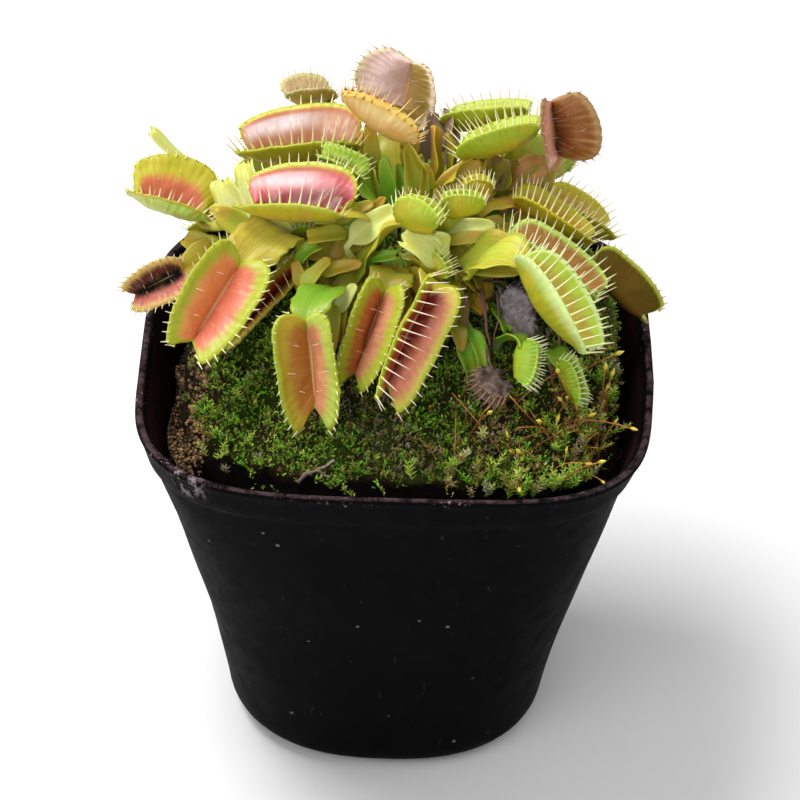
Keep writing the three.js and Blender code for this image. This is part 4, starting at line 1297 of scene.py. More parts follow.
def build_pot(settings):
    """The shell with its band, rounded rim and floor, and the drain holes cut through it."""
    angles = round_angles(POT_COLUMNS)
    lip, band = settings.lip, POT_HEIGHT - POT_BAND_HEIGHT
    rows = [(z, POT_BAND_PROUD) for z in (*POT_OUTER_HEIGHTS, band - 0.2)]
    rows += [(band + 0.15, POT_BAND_PROUD * 0.8), (band + 0.5, POT_BAND_PROUD * 0.2)]
    rows += [(z, 0.0) for z in (band + 0.9, band + 2.5, band + 4.5, POT_HEIGHT - 1.4)]
    for step in range(LIP_STEPS + 1):
        turn = math.pi * step / LIP_STEPS
        rows.append((POT_HEIGHT - lip + lip * math.sin(turn), lip - lip * math.cos(turn) - LIP_PROUD))
    inner = settings.wall + POT_BAND_PROUD
    rows += [(z, inner) for z in POT_INNER_HEIGHTS]
    floor = pot_ring(POT_FOOT_ROUND, inner + POT_FLOOR, angles)
    floor[:, 2] = POT_FLOOR
    rings = np.array([pot_ring(z, inset, angles) for z, inset in rows] + [floor])
    sag = settings.unevenness * ripples(rings, SAG_LENGTH, 3, layers=2) * smoothstep(4, 40, rings[..., 2])
    rings = rings + level_unit(rings) * sag[..., None]
    inner_side = np.arange(len(rings)) >= len(rows) - len(POT_INNER_HEIGHTS)
    points, faces = fanned(rings, np.array([[0, 0, 0], [0, 0, POT_FLOOR]]))
    shape = Shape()
    shape.add(points, faces, inner=np.concatenate([np.repeat(inner_side, POT_COLUMNS), [0, 1]]))
    pot = shape.build("pot_shell", plastic_paint(settings))
    cutters = Shape()
    around = 2 * math.pi * np.arange(DRAIN_SIDES) / DRAIN_SIDES
    for number in range(DRAIN_COUNT):
        angle = 2 * math.pi * number / DRAIN_COUNT
        x = DRAIN_RING * math.cos(angle) + DRAIN_RADIUS * np.cos(around)
        y = DRAIN_RING * math.sin(angle) + DRAIN_RADIUS * np.sin(around)
        plug = [np.column_stack([x, y, np.full(DRAIN_SIDES, z)]) for z in (-PLUG_PAST, POT_FLOOR + PLUG_PAST)]
        cutters.add(*capped(np.array(plug)))
    cutter = cutters.build("drain_cutter", pot.data.materials[0], smooth=False)
    cut = pot.modifiers.new("drain", "BOOLEAN")
    cut.operation = "DIFFERENCE"
    cut.solver = "EXACT"
    cut.object = cutter
    applied(pot)
    bpy.data.objects.remove(cutter)
    put_on(pot, "pot", "pot")


def icosahedron():
    """Corners at length 1 and outward faces."""
    golden = (1 + 5**0.5) / 2
    corners = []
    for a in (-1, 1):
        for b in (-golden, golden):
            corners += [(0, a, b), (a, b, 0), (b, 0, a)]
    corners = unit(np.array(corners, float))
    near = np.linalg.norm(corners[:, None] - corners[None], axis=-1) < 1.2
    faces = []
    for a, b, c in combinations(range(len(corners)), 3):
        if near[a, b] and near[b, c] and near[a, c]:
            normal = np.cross(corners[b] - corners[a], corners[c] - corners[a])
            faces.append((a, b, c) if np.dot(normal, corners[a]) > 0 else (a, c, b))
    return corners, faces


def crumbs(shape, draw, count, place, sizes, **values):
    """Rough lumps, each a squashed icosahedron. place gives one centre from draw."""
    corners, faces = icosahedron()
    for _ in range(count):
        size = draw.uniform(*sizes)
        stretch = draw.uniform(0.6, 1.3, 3) * size
        spin = np.linalg.qr(draw.normal(size=(3, 3)))[0]
        spin = spin * np.sign(np.linalg.det(spin))
        lump = (corners * draw.uniform(0.75, 1.15, (12, 1)) * stretch) @ spin.T
        shape.add(place(draw) + lump, faces, **values)


# Distances from the pot's outline inside which crumbs, heaped soil and roots stay clear of its wall
CRUMB_INSET = 2.6
SOIL_INSET = 4.2
ROOT_INSET = 2.8
# Heaped soil: its spans along x and y, where its slope begins and ends, its heights there and its shades
SOIL_ACROSS = (-40.6, -32.5)
SOIL_ALONG = (-28.0, 12.0)
SOIL_SLOPE = (-36.0, -40.6)
SOIL_HEIGHTS = (5.6, 1.4)
SOIL_SHADES = 5


def gap_place(draw):
    """A random place on the peat in the gap between the moss and the pot's wall."""
    angle = np.array([draw.uniform(0, 2 * math.pi)])
    inner = rounded_square(angle, MOSS_HALF, MOSS_SQUARENESS)[0] + MOSS_CENTRE
    outer = pot_ring(PEAT_TOP, CRUMB_INSET, angle)[0][:2]
    x, y = lerp(inner, outer, draw.uniform(-0.1, 1.0))
    return np.array([x, y, PEAT_TOP + draw.uniform(-0.1, 0.5)])


def side_place(draw):
    """A random place on the moss's bare left edge or on the soil heaped between it and the pot's wall."""
    x, y = draw.uniform(*SOIL_ACROSS), draw.uniform(*SOIL_ALONG)
    wall = pot_ring(PEAT_TOP, SOIL_INSET, np.array([math.atan2(y, x)]))[0]
    x, y = np.array([x, y]) * min(1.0, np.linalg.norm(wall[:2]) / math.hypot(x, y))
    if moss_share(x, y) < 0.97:
        return on_moss(x, y, -0.05)
    share = (x - SOIL_SLOPE[0]) / (SOIL_SLOPE[1] - SOIL_SLOPE[0])
    height = lerp(*SOIL_HEIGHTS, share) * draw.uniform(0.4, 1.0) * smoothstep(14, 2, y)
    return np.array([x, y, PEAT_TOP + height])


# Peat: heights of the rings up its side, and shares of its outline over its top
PEAT_COLUMNS = 120
PEAT_SIDE_HEIGHTS = (7.3, 20, 34, 48, 56, 58.2)
PEAT_TOP_SHARES = (0.985, 0.955, 0.925, 0.89, 0.86, 0.82, 0.78, 0.72, 0.6, 0.4, 0.2, 0.05)


def build_peat(settings):
    """The peat that fills the pot, with crumbs in the gap and brown soil heaped against the left wall."""
    angles = round_angles(PEAT_COLUMNS)
    inset = POT_WALL + POT_BAND_PROUD + GAP
    top = pot_ring(PEAT_TOP, inset, angles)
    rings = [pot_ring(z, inset, angles) for z in PEAT_SIDE_HEIGHTS]
    rings = np.array(rings + [top * (share, share, 1) for share in PEAT_TOP_SHARES])
    rise = settings.roughness * ripples(rings, 5.0, 21) - 0.1
    rings[..., 2] += np.where(rings[..., 2] == PEAT_TOP, rise, 0)
    base = pot_ring(POT_FOOT_ROUND, inset + POT_FLOOR, angles)
    base[:, 2] = POT_FLOOR + GAP
    shape = Shape()
    shape.add(*capped(np.concatenate([base[None], rings])))
    crumbs(shape, np.random.default_rng(22), settings.crumbs, gap_place, (0.25, 0.75))
    add_piece(shape, "peat_fill", peat_paint(), "peat", "peat")
    heap = Shape()
    draw = np.random.default_rng(23)
    for number in range(SOIL_SHADES):
        shade = number / (SOIL_SHADES - 1)
        crumbs(heap, draw, settings.heaped // SOIL_SHADES, side_place, (0.15, 0.5), rise=shade)
    soil = strand_paint("crumbly_soil", (0.06, 0.033, 0.015), (0.34, 0.20, 0.085), 0.95)
    add_piece(heap, "heaped_soil", soil, "peat")


# Moss
MOSS_COLUMNS = 170
MOSS_ROWS = 64
MOSS_SKIRT = (-0.2, 0.8, 1.6)


def moss_bumps(x, y, share):
    """Extra relief of the living surface over the solid's, which settles toward the edge."""
    points = np.stack([x, y], -1)
    bumps = 0.8 * ripples(points, 9.0, 31) + 0.6 * ripples(points, 3.4, 32, layers=2)
    return (bumps - 0.5) * smoothstep(1.0, 0.93, share)


def build_moss_bed():
    """The mat under the shoots, bare at its edge and where few of them grow, with painted shadow along its
    front.
    """
    angles = round_angles(MOSS_COLUMNS)
    edge = rounded_square(angles, MOSS_HALF, MOSS_SQUARENESS) + MOSS_CENTRE
    rings = [np.column_stack([edge, np.full(MOSS_COLUMNS, PEAT_TOP + rise)]) for rise in MOSS_SKIRT]
    for share in np.sin(math.pi / 2 * np.linspace(1, 0.02, MOSS_ROWS)):
        flat = rounded_square(angles, MOSS_HALF * share, MOSS_SQUARENESS) + MOSS_CENTRE
        x, y = flat.T
        rings.append(np.column_stack([flat, moss_top(x, y, share) + moss_bumps(x, y, share)]))
    rings = np.array(rings)
    side = smoothstep(0.8, 1.0, moss_share(rings[..., 0], rings[..., 1]))
    uneven = 0.7 * side * ripples(rings, 6.0, 33) - 0.3 * side
    points, faces = capped(rings + level_unit(rings - (*MOSS_CENTRE, 0)) * uneven[..., None])
    x, y = points[:, 0], points[:, 1]
    share = moss_share(x, y)
    # The cushion's side, painted dark as bare mat: old stems and painted shade.
    edge = smoothstep(0.86, 0.95, share) * smoothstep(14, 4, y)
    # Where the front of the cushion is painted near black as the crevice's shadow.
    crevice = smoothstep(0.87, 0.92, share) * smoothstep(-20, -26, y)
    bare = np.maximum(edge, 0.9 * (1 - moss_cover(points[:, :2])))
    shape = Shape()
    shape.add(points, faces, bare=bare, crevice=crevice)
    add_piece(shape, "moss_bed", moss_bed_paint(), "moss", "moss")


# Patches of the moss: centre, reach and the tone that each pulls toward (0 grey-brown to 1 yellow-green)
MOSS_PATCHES = (
    ((-28, -8), 7, 0.64),
    ((-34, -14), 4, 0.30),
    ((-30, -22), 6, 0.82),
    ((-20, -17), 6, 0.68),
    ((-22, -29), 6, 0.74),
    ((-11, -24), 5, 0.62),
    ((-5, -17), 6, 0.10),
    ((-2, -32), 3, 0.92),
    ((5.5, -26), 5, 0.08),
    ((9, -17), 6, 0.66),
    ((17, -20), 5, 0.24),
    ((22, -28), 6, 0.60),
    ((29, -20), 5, 0.66),
)
PATCH_PULL = 0.75


def moss_tone(flat, draw):
    """The tone of each shoot: even ripples, drawn toward the tones of the patches, and some chance."""
    tone = 0.5 + 0.24 * ripples(flat, 16.0, 41) + 0.14 * ripples(flat, 4.5, 42, layers=2)
    for centre, reach, target in MOSS_PATCHES:
        away = np.linalg.norm(flat - np.array(centre, float), axis=-1)
        tone = lerp(tone, target, PATCH_PULL * ridge(away, reach))
    return np.clip(tone + draw.normal(0, 0.17, len(flat)), 0, 1)


def moss_spots(draw, count):
    """Random places spread evenly over the moss surface, with its normals there."""
    low, high = MOSS_CENTRE - MOSS_HALF, MOSS_CENTRE + MOSS_HALF
    spots = np.empty((0, 2))
    while len(spots) < count:
        flat = draw.uniform(low, high, (4 * count, 2))
        flat = flat[moss_share(*flat.T) < 0.99]
        steepness = np.sqrt(1 + (moss_slope(*flat.T) ** 2).sum(-1))
        keep = draw.uniform(0, 3.2, len(flat)) < steepness * moss_cover(flat)
        spots = np.concatenate([spots, flat[keep]])
    spots = spots[:count]
    x, y = spots.T
    normals = unit(np.column_stack([-moss_slope(x, y), np.ones(count)]))
    z = moss_surface(x, y) + moss_bumps(x, y, moss_share(x, y))
    return np.column_stack([spots, z]), normals


def moss_cover(flat):
    """How thick the moss grows: thinner toward the front and left edges and in the right front corner."""
    x, y = flat.T
    edge = smoothstep(0.95, 0.87, moss_share(x, y) + 0.05 * ripples(flat, 5.0, 43, layers=2))
    corner = smoothstep(21, 29, x + 3 * ripples(flat, 6.0, 44, layers=2)) * smoothstep(-2, -10, y)
    left = smoothstep(-24, -30, x) * smoothstep(12, 2, y)
    bare = np.maximum(smoothstep(-20, -25, y), left)
    return lerp(1.0, edge, bare) * (1 - 0.72 * corner)


def moss_slope(x, y):
    """How steeply the solid cushion rises along x and along y, at most 3."""
    step = 0.2
    across = moss_surface(x + step, y) - moss_surface(x - step, y)
    along = moss_surface(x, y + step) - moss_surface(x, y - step)
    return np.clip(np.column_stack([across, along]) / (2 * step), -3, 3)


def leaflets(roots, headings, lengths, widths, draw):
    """Slim pointed leaves, four faces each, from their roots along headings."""
    count = len(roots)
    across = unit(np.cross(headings, unit(draw.normal(size=(count, 3)))))
    other = np.cross(headings, across)
    widths, lengths = widths[:, None], lengths[:, None]
    left = roots - across * widths / 2 + headings * lengths * 0.2
    right = roots + across * widths / 2 + headings * lengths * 0.2
    back = roots - other * widths * 0.35
    tips = roots + headings * lengths
    points = np.stack([left, right, back, tips], 1).reshape(-1, 3)
    first = 4 * np.arange(count)[:, None]
    faces = np.concatenate([first + corners for corners in ((0, 3, 1), (1, 3, 2), (2, 3, 0), (0, 1, 2))])
    return points, faces


# Turn from one leaf of a stem to the next, and the leaves of a small shoot
LEAF_TURN = 2.4
SHOOT_LEAVES = 4


def add_shoots(shape, bases, normals, tones, heights, draw):
    """Small upright moss stems, each with leaves set round it in a spiral and one at the top."""
    count = len(bases)
    stems = unit(normals * 0.55 + UP * 0.55 + draw.normal(0, 0.28, (count, 3)))
    aside = unit(np.cross(stems, unit(draw.normal(size=(count, 3)))))
    ahead = np.cross(stems, aside)
    # Each shoot's brightness at random: painted light and shade, so that some shoots look lit and others
    # shaded.
    lights = draw.uniform(0.6, 1.3, count)
    for number in range(SHOOT_LEAVES):
        share = 0.25 + 0.75 * number / (SHOOT_LEAVES - 1)
        angle = LEAF_TURN * number + draw.uniform(0, 2 * math.pi, count)[:, None]
        out = np.cos(angle) * aside + np.sin(angle) * ahead
        lean = 1.3 * (1 - share) + 0.75
        headings = unit(stems + out * lean)
        roots = bases + stems * (heights * share * 0.75)[:, None]
        lengths = heights * 0.5 * draw.uniform(0.7, 1.1, count)
        points, faces = leaflets(roots, headings, lengths, lengths * 0.62, draw)
        low, high = 0.35 * share, 0.3 + 0.7 * share
        rise = (lights[:, None] * np.array([low, low, low, high])).ravel()
        shape.add(points, faces, tone=np.repeat(tones, 4), rise=rise)


def build_moss_shoots(settings):
    """The small shoots over the whole cushion, in a left and a right piece."""
    draw = np.random.default_rng(51)
    bases, normals = moss_spots(draw, settings.shoots)
    tones = moss_tone(bases[:, :2], draw)
    tall = 1 + 0.5 * ripples(bases[:, :2], 7.0, 52)
    heights = settings.shoot_height * tall * draw.uniform(0.6, 1.25, len(bases))
    finish = moss_shoot_paint("moss_leaves")
    bases = bases - normals * 0.3
    left = bases[:, 0] < MOSS_CENTRE[0]
    for side, chosen in (("left", left), ("right", ~left)):
        shape = Shape()
        add_shoots(shape, bases[chosen], normals[chosen], tones[chosen], heights[chosen], draw)
        add_piece(shape, f"moss_shoots_{side}", finish, "moss", smooth=False)


# Groups of taller stems: what the setting's count is divided by, the group's centre and its spread
TALL_GROUPS = (
    (1, (32, -17), (3, 9)),
    (2, (20, -29), (9, 3)),
    (8, (-31, -20), (3, 6)),
)
SPORE_GROUPS = (
    (1, (33, -18), (4, 8)),
    (3, (19, -19), (4, 5)),
    (4, (24, -29), (8, 2)),
)
TALL_LEAVES = 22
# How far to the sides and to the front a spore stalk may reach
SPORE_ACROSS = 40.0
SPORE_FRONT = 34.0
CAPSULE_RADII = np.array([0.12, 0.24, 0.38, 0.42, 0.36, 0.2, 0.07])


def region_spots(draw, count, centre, spread):
    """Random places on the moss round a centre, drawn in from the cushion's edge."""
    flat = draw.normal(centre, spread, (count, 2))
    pull = np.minimum(1, 0.96 / moss_share(*flat.T))[:, None]
    flat = MOSS_CENTRE + (flat - MOSS_CENTRE) * pull
    return np.column_stack([flat, moss_surface(*flat.T)])


def bowed(start, reach, bow, steps):
    """A path from start along reach that bends more and more toward bow."""
    return start + reach * steps[:, None] + bow * (steps**2)[:, None]


def build_tall_moss(settings):
    """Taller leafy moss at the right and along the front edge, and a little at the left."""
    draw = np.random.default_rng(61)
    groups = [region_spots(draw, settings.right_stems // part, *where) for part, *where in TALL_GROUPS]
    steps = np.linspace(0, 1, 7)
    places = np.linspace(0.12, 1, TALL_LEAVES)
    angle = LEAF_TURN * np.arange(TALL_LEAVES)
    out = np.stack([np.cos(angle), np.sin(angle), np.zeros(TALL_LEAVES)], -1)
    leaf_rise = np.column_stack([*[0.3 + 0.4 * places] * 3, 0.6 + 0.4 * places]).ravel()
    shape = Shape()
    for base in np.concatenate(groups):
        height = settings.stem_height * draw.uniform(0.5, 1.2)
        lean = unit(np.array([draw.normal(0.05, 0.5), draw.normal(-0.2, 0.5), 1.1]))
        bow = unit(np.array([draw.normal(), draw.normal(), 0.2])) * height * 0.25
        path = bowed(base - UP * 0.4, lean * height, bow, steps)
        tone = float(np.clip(draw.normal(0.27 if draw.uniform() < 0.35 else 0.8, 0.08), 0, 1))
        tube(shape, path, lerp(0.16, 0.07, steps), sides=4, tone=tone * 0.8, rise=0.2 + 0.5 * steps)
        roots = np.stack([np.interp(places, steps, path[:, axis]) for axis in range(3)], -1)
        headings = unit(out * 0.9 + lean * 0.75)
        lengths = np.sin(math.pi * (0.2 + 0.72 * places)) * draw.uniform(1.1, 1.7)
        points, faces = leaflets(roots, headings, lengths, lengths * 0.3, draw)
        shape.add(points, faces, tone=tone, rise=leaf_rise)
    add_piece(shape, "tall_moss", moss_shoot_paint("tall_moss_leaves"), "moss", smooth=False)


def build_spore_stalks(settings):
    """Thin wiry stems with spore capsules, crowded at the right."""
    draw = np.random.default_rng(71)
    steps = np.linspace(0, 1, 10)
    along = np.linspace(0, 1, len(CAPSULE_RADII))
    stems, capsules = Shape(), Shape()
    for part, *where in SPORE_GROUPS:
        for base in region_spots(draw, settings.stalks // part, *where):
            height = settings.stalk_height * draw.uniform(0.55, 1.15)
            inward = 0.45 * smoothstep(-22, -29, base[1])
            lean = np.array([draw.normal(-0.05, 0.4), draw.normal(-0.1, 0.4) + inward, 1.0])
            shade = draw.uniform(0.1, 1.0)
            bow = np.array([draw.normal(), draw.normal(), -0.5]) * height * draw.uniform(0.15, 0.55)
            path = bowed(base - UP * 0.6, unit(lean) * height, bow, steps)
            past = max(np.abs(path[:, :2]).max() / SPORE_ACROSS, -path[:, 1].min() / SPORE_FRONT)
            if past > 1:
                path[:, :2] *= 1 - (1 - 1 / past) * steps[:, None]
            tube(stems, path, draw.uniform(0.08, 0.14), sides=5, rise=steps * shade)
            if draw.uniform() < 0.45:
                heading = unit(path[-1] - path[-2] - UP * 0.06)
                body = path[-1] + heading * np.linspace(-0.1, draw.uniform(1.3, 1.9), len(along))[:, None]
                tube(capsules, body, CAPSULE_RADII * draw.uniform(0.6, 1.05), sides=8, rise=along)
    stem_paint = strand_paint("wiry_stem", (0.14, 0.035, 0.010), (0.66, 0.28, 0.05), 0.4)
    add_piece(stems, "spore_stalks", stem_paint, "moss")
    capsule_paint = strand_paint("capsule_skin", (0.50, 0.34, 0.03), (0.80, 0.66, 0.08), 0.4)
    add_piece(capsules, "spore_capsules", capsule_paint, "moss")


# The twig's branches: start, middle and end from above, and radius
TWIG = (
    ((-16.0, -31.4), (-13.5, -29.6), (-10.0, -26.8), 0.34),
    ((-13.4, -29.2), (-11.8, -29.4), (-10.6, -29.8), 0.26),
)
# Withered stalks: start, the point that each arches toward, end, and width
WITHERED = (
    ((12, 2, 82), (15, -5, 92), (16, -9, 78), 0.6),
    ((13, 1, 82), (11, -6, 92), (12, -10, 78), 0.5),
    ((15, 0, 81), (18, -2, 90), (17, -8, 79), 0.45),
    ((11, 3, 84), (19, 0, 90), (21, -5, 82), 0.5),
    ((9, 4, 85), (10, -3, 88), (9, -8, 80), 0.4),
    ((22, 4, 82), (27, -2, 88), (28, -8, 78), 0.5),
)


def build_roots(count):
    """Loose roots that lie in the gap round the moss."""
    draw = np.random.default_rng(81)
    roots = Shape()
    steps = np.linspace(0, 1, 9)
    for _ in range(count):
        base = gap_place(draw)
        heading = unit(np.array([draw.normal(), draw.normal(), 0.15]))
        side = unit(np.cross(heading, UP))
        length = draw.uniform(4, 11)
        path = base + heading * length * (steps - 0.5)[:, None]
        sway = draw.uniform(-1.6, 1.6) * np.sin(math.pi * steps * draw.uniform(0.8, 1.8))
        path = path + side * sway[:, None]
        path[:, 2] = PEAT_TOP + 0.5 + draw.uniform(0.2, 1.6) * np.sin(math.pi * steps)
        wall = pot_ring(PEAT_TOP, ROOT_INSET, np.arctan2(path[:, 1], path[:, 0]))
        limit = np.linalg.norm(wall[:, :2], axis=1) / np.maximum(np.linalg.norm(path[:, :2], axis=1), 1e-6)
        path[:, :2] *= np.minimum(1, 0.98 * limit)[:, None]
        tube(roots, path, lerp(0.13, 0.05, steps), sides=4, rise=steps)
    root = strand_paint("root", (0.10, 0.035, 0.02), (0.20, 0.08, 0.04), 0.7)
    add_piece(roots, "root_fibres", root, "peat")


def build_twig():
    """The pale forked twig on the moss."""
    twig = Shape()
    steps = np.linspace(0, 1, 22)
    for start, middle, end, thick in TWIG:
        flat = bezier(*np.array([start, middle, middle, end]), steps)
        lift = moss_surface(*flat.T) + 0.8 + 0.45 * ripples(flat, 2.5, 84, layers=2)
        knots = 1 + 0.5 * ripples(flat, 1.1, 85, layers=2)
        tube(twig, np.column_stack([flat, lift]), thick * knots * (1 - 0.4 * steps), sides=8, rise=steps)
    bark = strand_paint("twig_bark", (0.16, 0.10, 0.085), (0.36, 0.27, 0.23), 0.9)
    add_piece(twig, "fallen_twig", bark, "peat")


def build_withered():
    """Withered stalks that arch among the leaves."""
    stalks = Shape()
    steps = np.linspace(0, 1, 16)
    for start, middle, end, width in WITHERED:
        start, middle, end = np.array([start, middle, end], float)
        path = bezier(start, lerp(start, middle, 0.8), lerp(end, middle, 0.8), end, steps)
        path = path + 0.3 * np.stack([ripples(path, 5.0, 82 + axis, layers=1) for axis in range(3)], -1)
        tube(stalks, path, 0.62 * width * (0.5 + 0.5 * np.sin(math.pi * steps)), sides=6, rise=steps)
    withered = strand_paint("withered", (0.07, 0.03, 0.028), (0.22, 0.11, 0.09), 0.6)
    add_piece(stalks, "withered_stalks", withered, "leaf_dead")


# Short blades at the crown: where each broadens, its tip, width, bow, how blunt its end is, and skin
BLADES = (
    ((-8.5, 3.5, 92.0), (-1.0, 6.5, 96.5), 5.6, 0.6, 0.5, "cream"),
    ((-9.0, 5.5, 92.5), (-16.0, 2.0, 93.5), 3.6, 0.6, 0.8, "lime"),
    ((-11.0, 8.5, 92.5), (-5.0, 9.0, 96.5), 3.0, 0.8, 0.2, "lime"),
    ((-6.0, 10.5, 91.5), (-3.0, 9.5, 97.5), 3.0, 0.5, 0.2, "olive"),
    ((-17.5, 0.0, 89.5), (-14.5, 1.0, 92.5), 3.4, 0.8, 0.9, "fresh"),
    ((-16.5, -4.5, 87.5), (-12.0, -1.5, 91.5), 3.2, 0.5, 0.1, "lime"),
    ((-16.5, -3.5, 87.0), (-18.0, -1.0, 90.5), 2.6, 0.5, 0.2, "olive"),
    ((-13.5, -1.5, 88.5), (-6.5, -1.0, 90.5), 3.2, 0.4, 0.1, "olive"),
    ((-10.5, -9.0, 85.5), (-7.5, -6.0, 89.5), 3.0, 0.5, 0.1, "cream"),
    ((-11.0, -8.5, 86.5), (-11.0, -13.5, 80.5), 3.4, 1.2, 0.3, "lime"),
    ((-9.5, -6.5, 86.5), (-9.5, -11.5, 81.0), 3.0, 1.2, 0.2, "olive"),
    ((-4.5, 0.5, 90.5), (-0.5, 0.0, 92.0), 2.2, 0.3, 0.9, "fresh"),
    ((7.5, 1.5, 89.5), (2.0, 2.0, 94.0), 6.4, 0.8, 0.9, "cream"),
    ((6.0, 4.5, 90.5), (0.5, 1.5, 91.5), 4.0, 0.6, 0.8, "cream"),
    ((7.5, 4.5, 92.0), (15.0, 4.5, 93.5), 2.6, 0.5, 0.5, "amber"),
    ((7.0, 7.0, 93.0), (16.0, 6.5, 94.5), 3.4, 0.5, 0.4, "cream"),
    ((6.5, 3.0, 89.0), (5.5, -2.5, 86.5), 3.4, 1.0, 0.6, "lime"),
    ((1.5, 1.5, 88.0), (4.5, -2.5, 86.0), 3.6, 1.0, 0.5, "olive"),
    ((-1.5, -1.0, 87.0), (-4.5, -4.5, 85.5), 5.6, 1.2, 0.5, "amber"),
    ((0.0, 2.0, 88.0), (1.0, -4.0, 86.0), 3.2, 1.0, 0.3, "olive"),
    ((10.5, 3.0, 89.0), (20.0, -1.0, 92.0), 9.5, 1.6, 0.9, "lime"),
    ((4.0, 15.5, 93.0), (3.5, 15.0, 101.5), 4.0, 0.4, 0.1, "blush"),
    ((7.5, 15.0, 93.0), (5.5, 15.0, 96.0), 1.2, 0.2, 0.9, "coral"),
    ((-1.5, 15.0, 92.5), (-3.5, 17.0, 101.5), 3.4, 0.5, 0.1, "fresh"),
    ((0.5, 15.0, 92.5), (-1.0, 18.0, 99.5), 3.0, 0.4, 0.1, "fresh"),
    ((3.0, 14.5, 92.5), (0.5, 16.5, 104.0), 5.0, 0.6, 0.2, "lime"),
    ((5.5, 16.5, 94.0), (13.0, 19.5, 99.5), 4.6, 0.8, 0.6, "amber"),
    ((-4.5, 16.0, 93.0), (-5.5, 18.0, 98.5), 3.6, 0.5, 0.2, "lime"),
    ((-3.0, 19.5, 91.0), (-4.0, 18.5, 96.0), 3.0, 0.5, 0.2, "fresh"),
    ((6.5, 14.0, 92.0), (10.0, 13.5, 95.5), 3.0, 0.5, 0.2, "fresh"),
    ((-26.5, 6.5, 91.5), (-31.5, 13.0, 97.5), 6.0, 0.8, 0.7, "cream"),
    ((-24.5, 8.5, 91.5), (-27.5, 17.5, 98.5), 5.6, 0.8, 0.7, "cream"),
    ((-25.0, 6.0, 91.0), (-33.0, 6.5, 95.0), 5.0, 0.8, 0.6, "lime"),
    ((-30.0, 2.5, 87.5), (-37.5, 3.5, 92.0), 5.0, 0.8, 0.6, "lime"),
    ((12.5, -7.0, 81.5), (15.0, -12.5, 76.5), 3.4, 1.5, 0.4, "fresh"),
    ((10.5, -9.5, 81.0), (13.0, -12.5, 75.0), 4.0, 1.5, 0.6, "fresh"),
    ((16.5, -1.5, 83.0), (19.0, -6.5, 81.5), 3.4, 1.0, 0.9, "fresh"),
    ((10.0, 2.0, 87.5), (11.0, 0.5, 84.5), 2.4, 0.8, 0.5, "amber"),
    ((-3.0, 19.0, 92.0), (-5.5, 21.5, 106.0), 6.0, 0.8, 0.3, "lime"),
    ((-4.5, 21.0, 92.0), (-7.5, 24.0, 102.0), 5.0, 0.8, 0.3, "olive"),
    ((5.0, 19.5, 95.0), (5.0, 23.0, 104.5), 5.0, 0.6, 0.2, "olive"),
    ((8.0, 21.0, 95.0), (7.5, 22.0, 103.5), 5.0, 0.6, 0.3, "moody"),
    ((11.5, 19.5, 94.0), (14.5, 21.5, 100.0), 6.0, 0.8, 0.4, "moody"),
    ((17.0, 21.5, 91.5), (19.0, 24.5, 97.0), 7.0, 0.8, 0.4, "moody"),
    ((22.5, 22.5, 91.0), (25.5, 25.0, 95.5), 6.0, 0.8, 0.4, "moody"),
    ((-8.0, 19.0, 92.0), (-9.5, 21.5, 98.0), 5.0, 0.8, 0.3, "moody"),
    ((19.0, 15.0, 88.0), (21.5, 17.0, 92.5), 5.0, 0.6, 0.3, "olive"),
    ((17.5, 16.0, 87.5), (19.5, 18.0, 91.5), 4.4, 0.6, 0.2, "moody"),
    ((13.5, 23.0, 93.0), (17.5, 25.0, 97.0), 5.0, 0.6, 0.3, "moody"),
    ((4.0, 25.0, 96.5), (4.5, 30.0, 103.0), 6.5, 0.8, 0.2, "plum"),
    ((7.5, 25.0, 95.5), (7.0, 31.0, 102.5), 7.0, 0.8, 0.3, "plum"),
    ((10.5, 25.0, 95.5), (12.0, 30.0, 102.0), 6.0, 0.8, 0.3, "moody"),
    ((0.0, 26.0, 95.5), (1.0, 31.0, 100.5), 6.0, 0.8, 0.2, "olive"),
    ((-36.5, 17.5, 95.5), (-44.5, 19.5, 103.0), 3.2, -0.8, 0.9, "cream"),
    ((7.0, -1.0, 91.0), (0.5, -1.5, 96.5), 6.0, 0.9, 0.6, "cream"),
    ((8.0, 1.0, 92.5), (5.5, 0.0, 96.0), 4.0, 0.6, 0.4, "cream"),
    ((10.0, -3.0, 85.0), (8.5, -8.0, 82.0), 3.4, 1.0, 0.2, "moody"),
    ((9.5, -8.0, 83.0), (11.0, -13.0, 81.0), 3.4, 1.2, 0.1, "moody"),
    ((-11.5, -8.0, 83.5), (-11.0, -14.0, 80.5), 2.8, 1.0, 0.2, "lime"),
)
CROWN = np.array([0.0, 22.0, 0.0])
CROWN_HEART = np.array([0.0, 12.0])
CROWN_REACH = np.array([15.0, 13.0])
BLADE_STEM = 0.55
BLADE_COLUMNS = 9
BLADE_THICK = 0.24
BLADE_KEEL, BLADE_KEEL_HALF = 0.3, 0.25
BLADE_FOLD = 0.42
BLADE_WAVE = 0.07
BLADE_TORN = 0.16
BLADE_CLEARANCE = 2.4
# Skins of the low blades, mostly moody: painted shade for blades under the traps.
LOW_BLADE_SKINS = ("moody", "moody", "olive", "lime", "amber", "moody", "fresh")


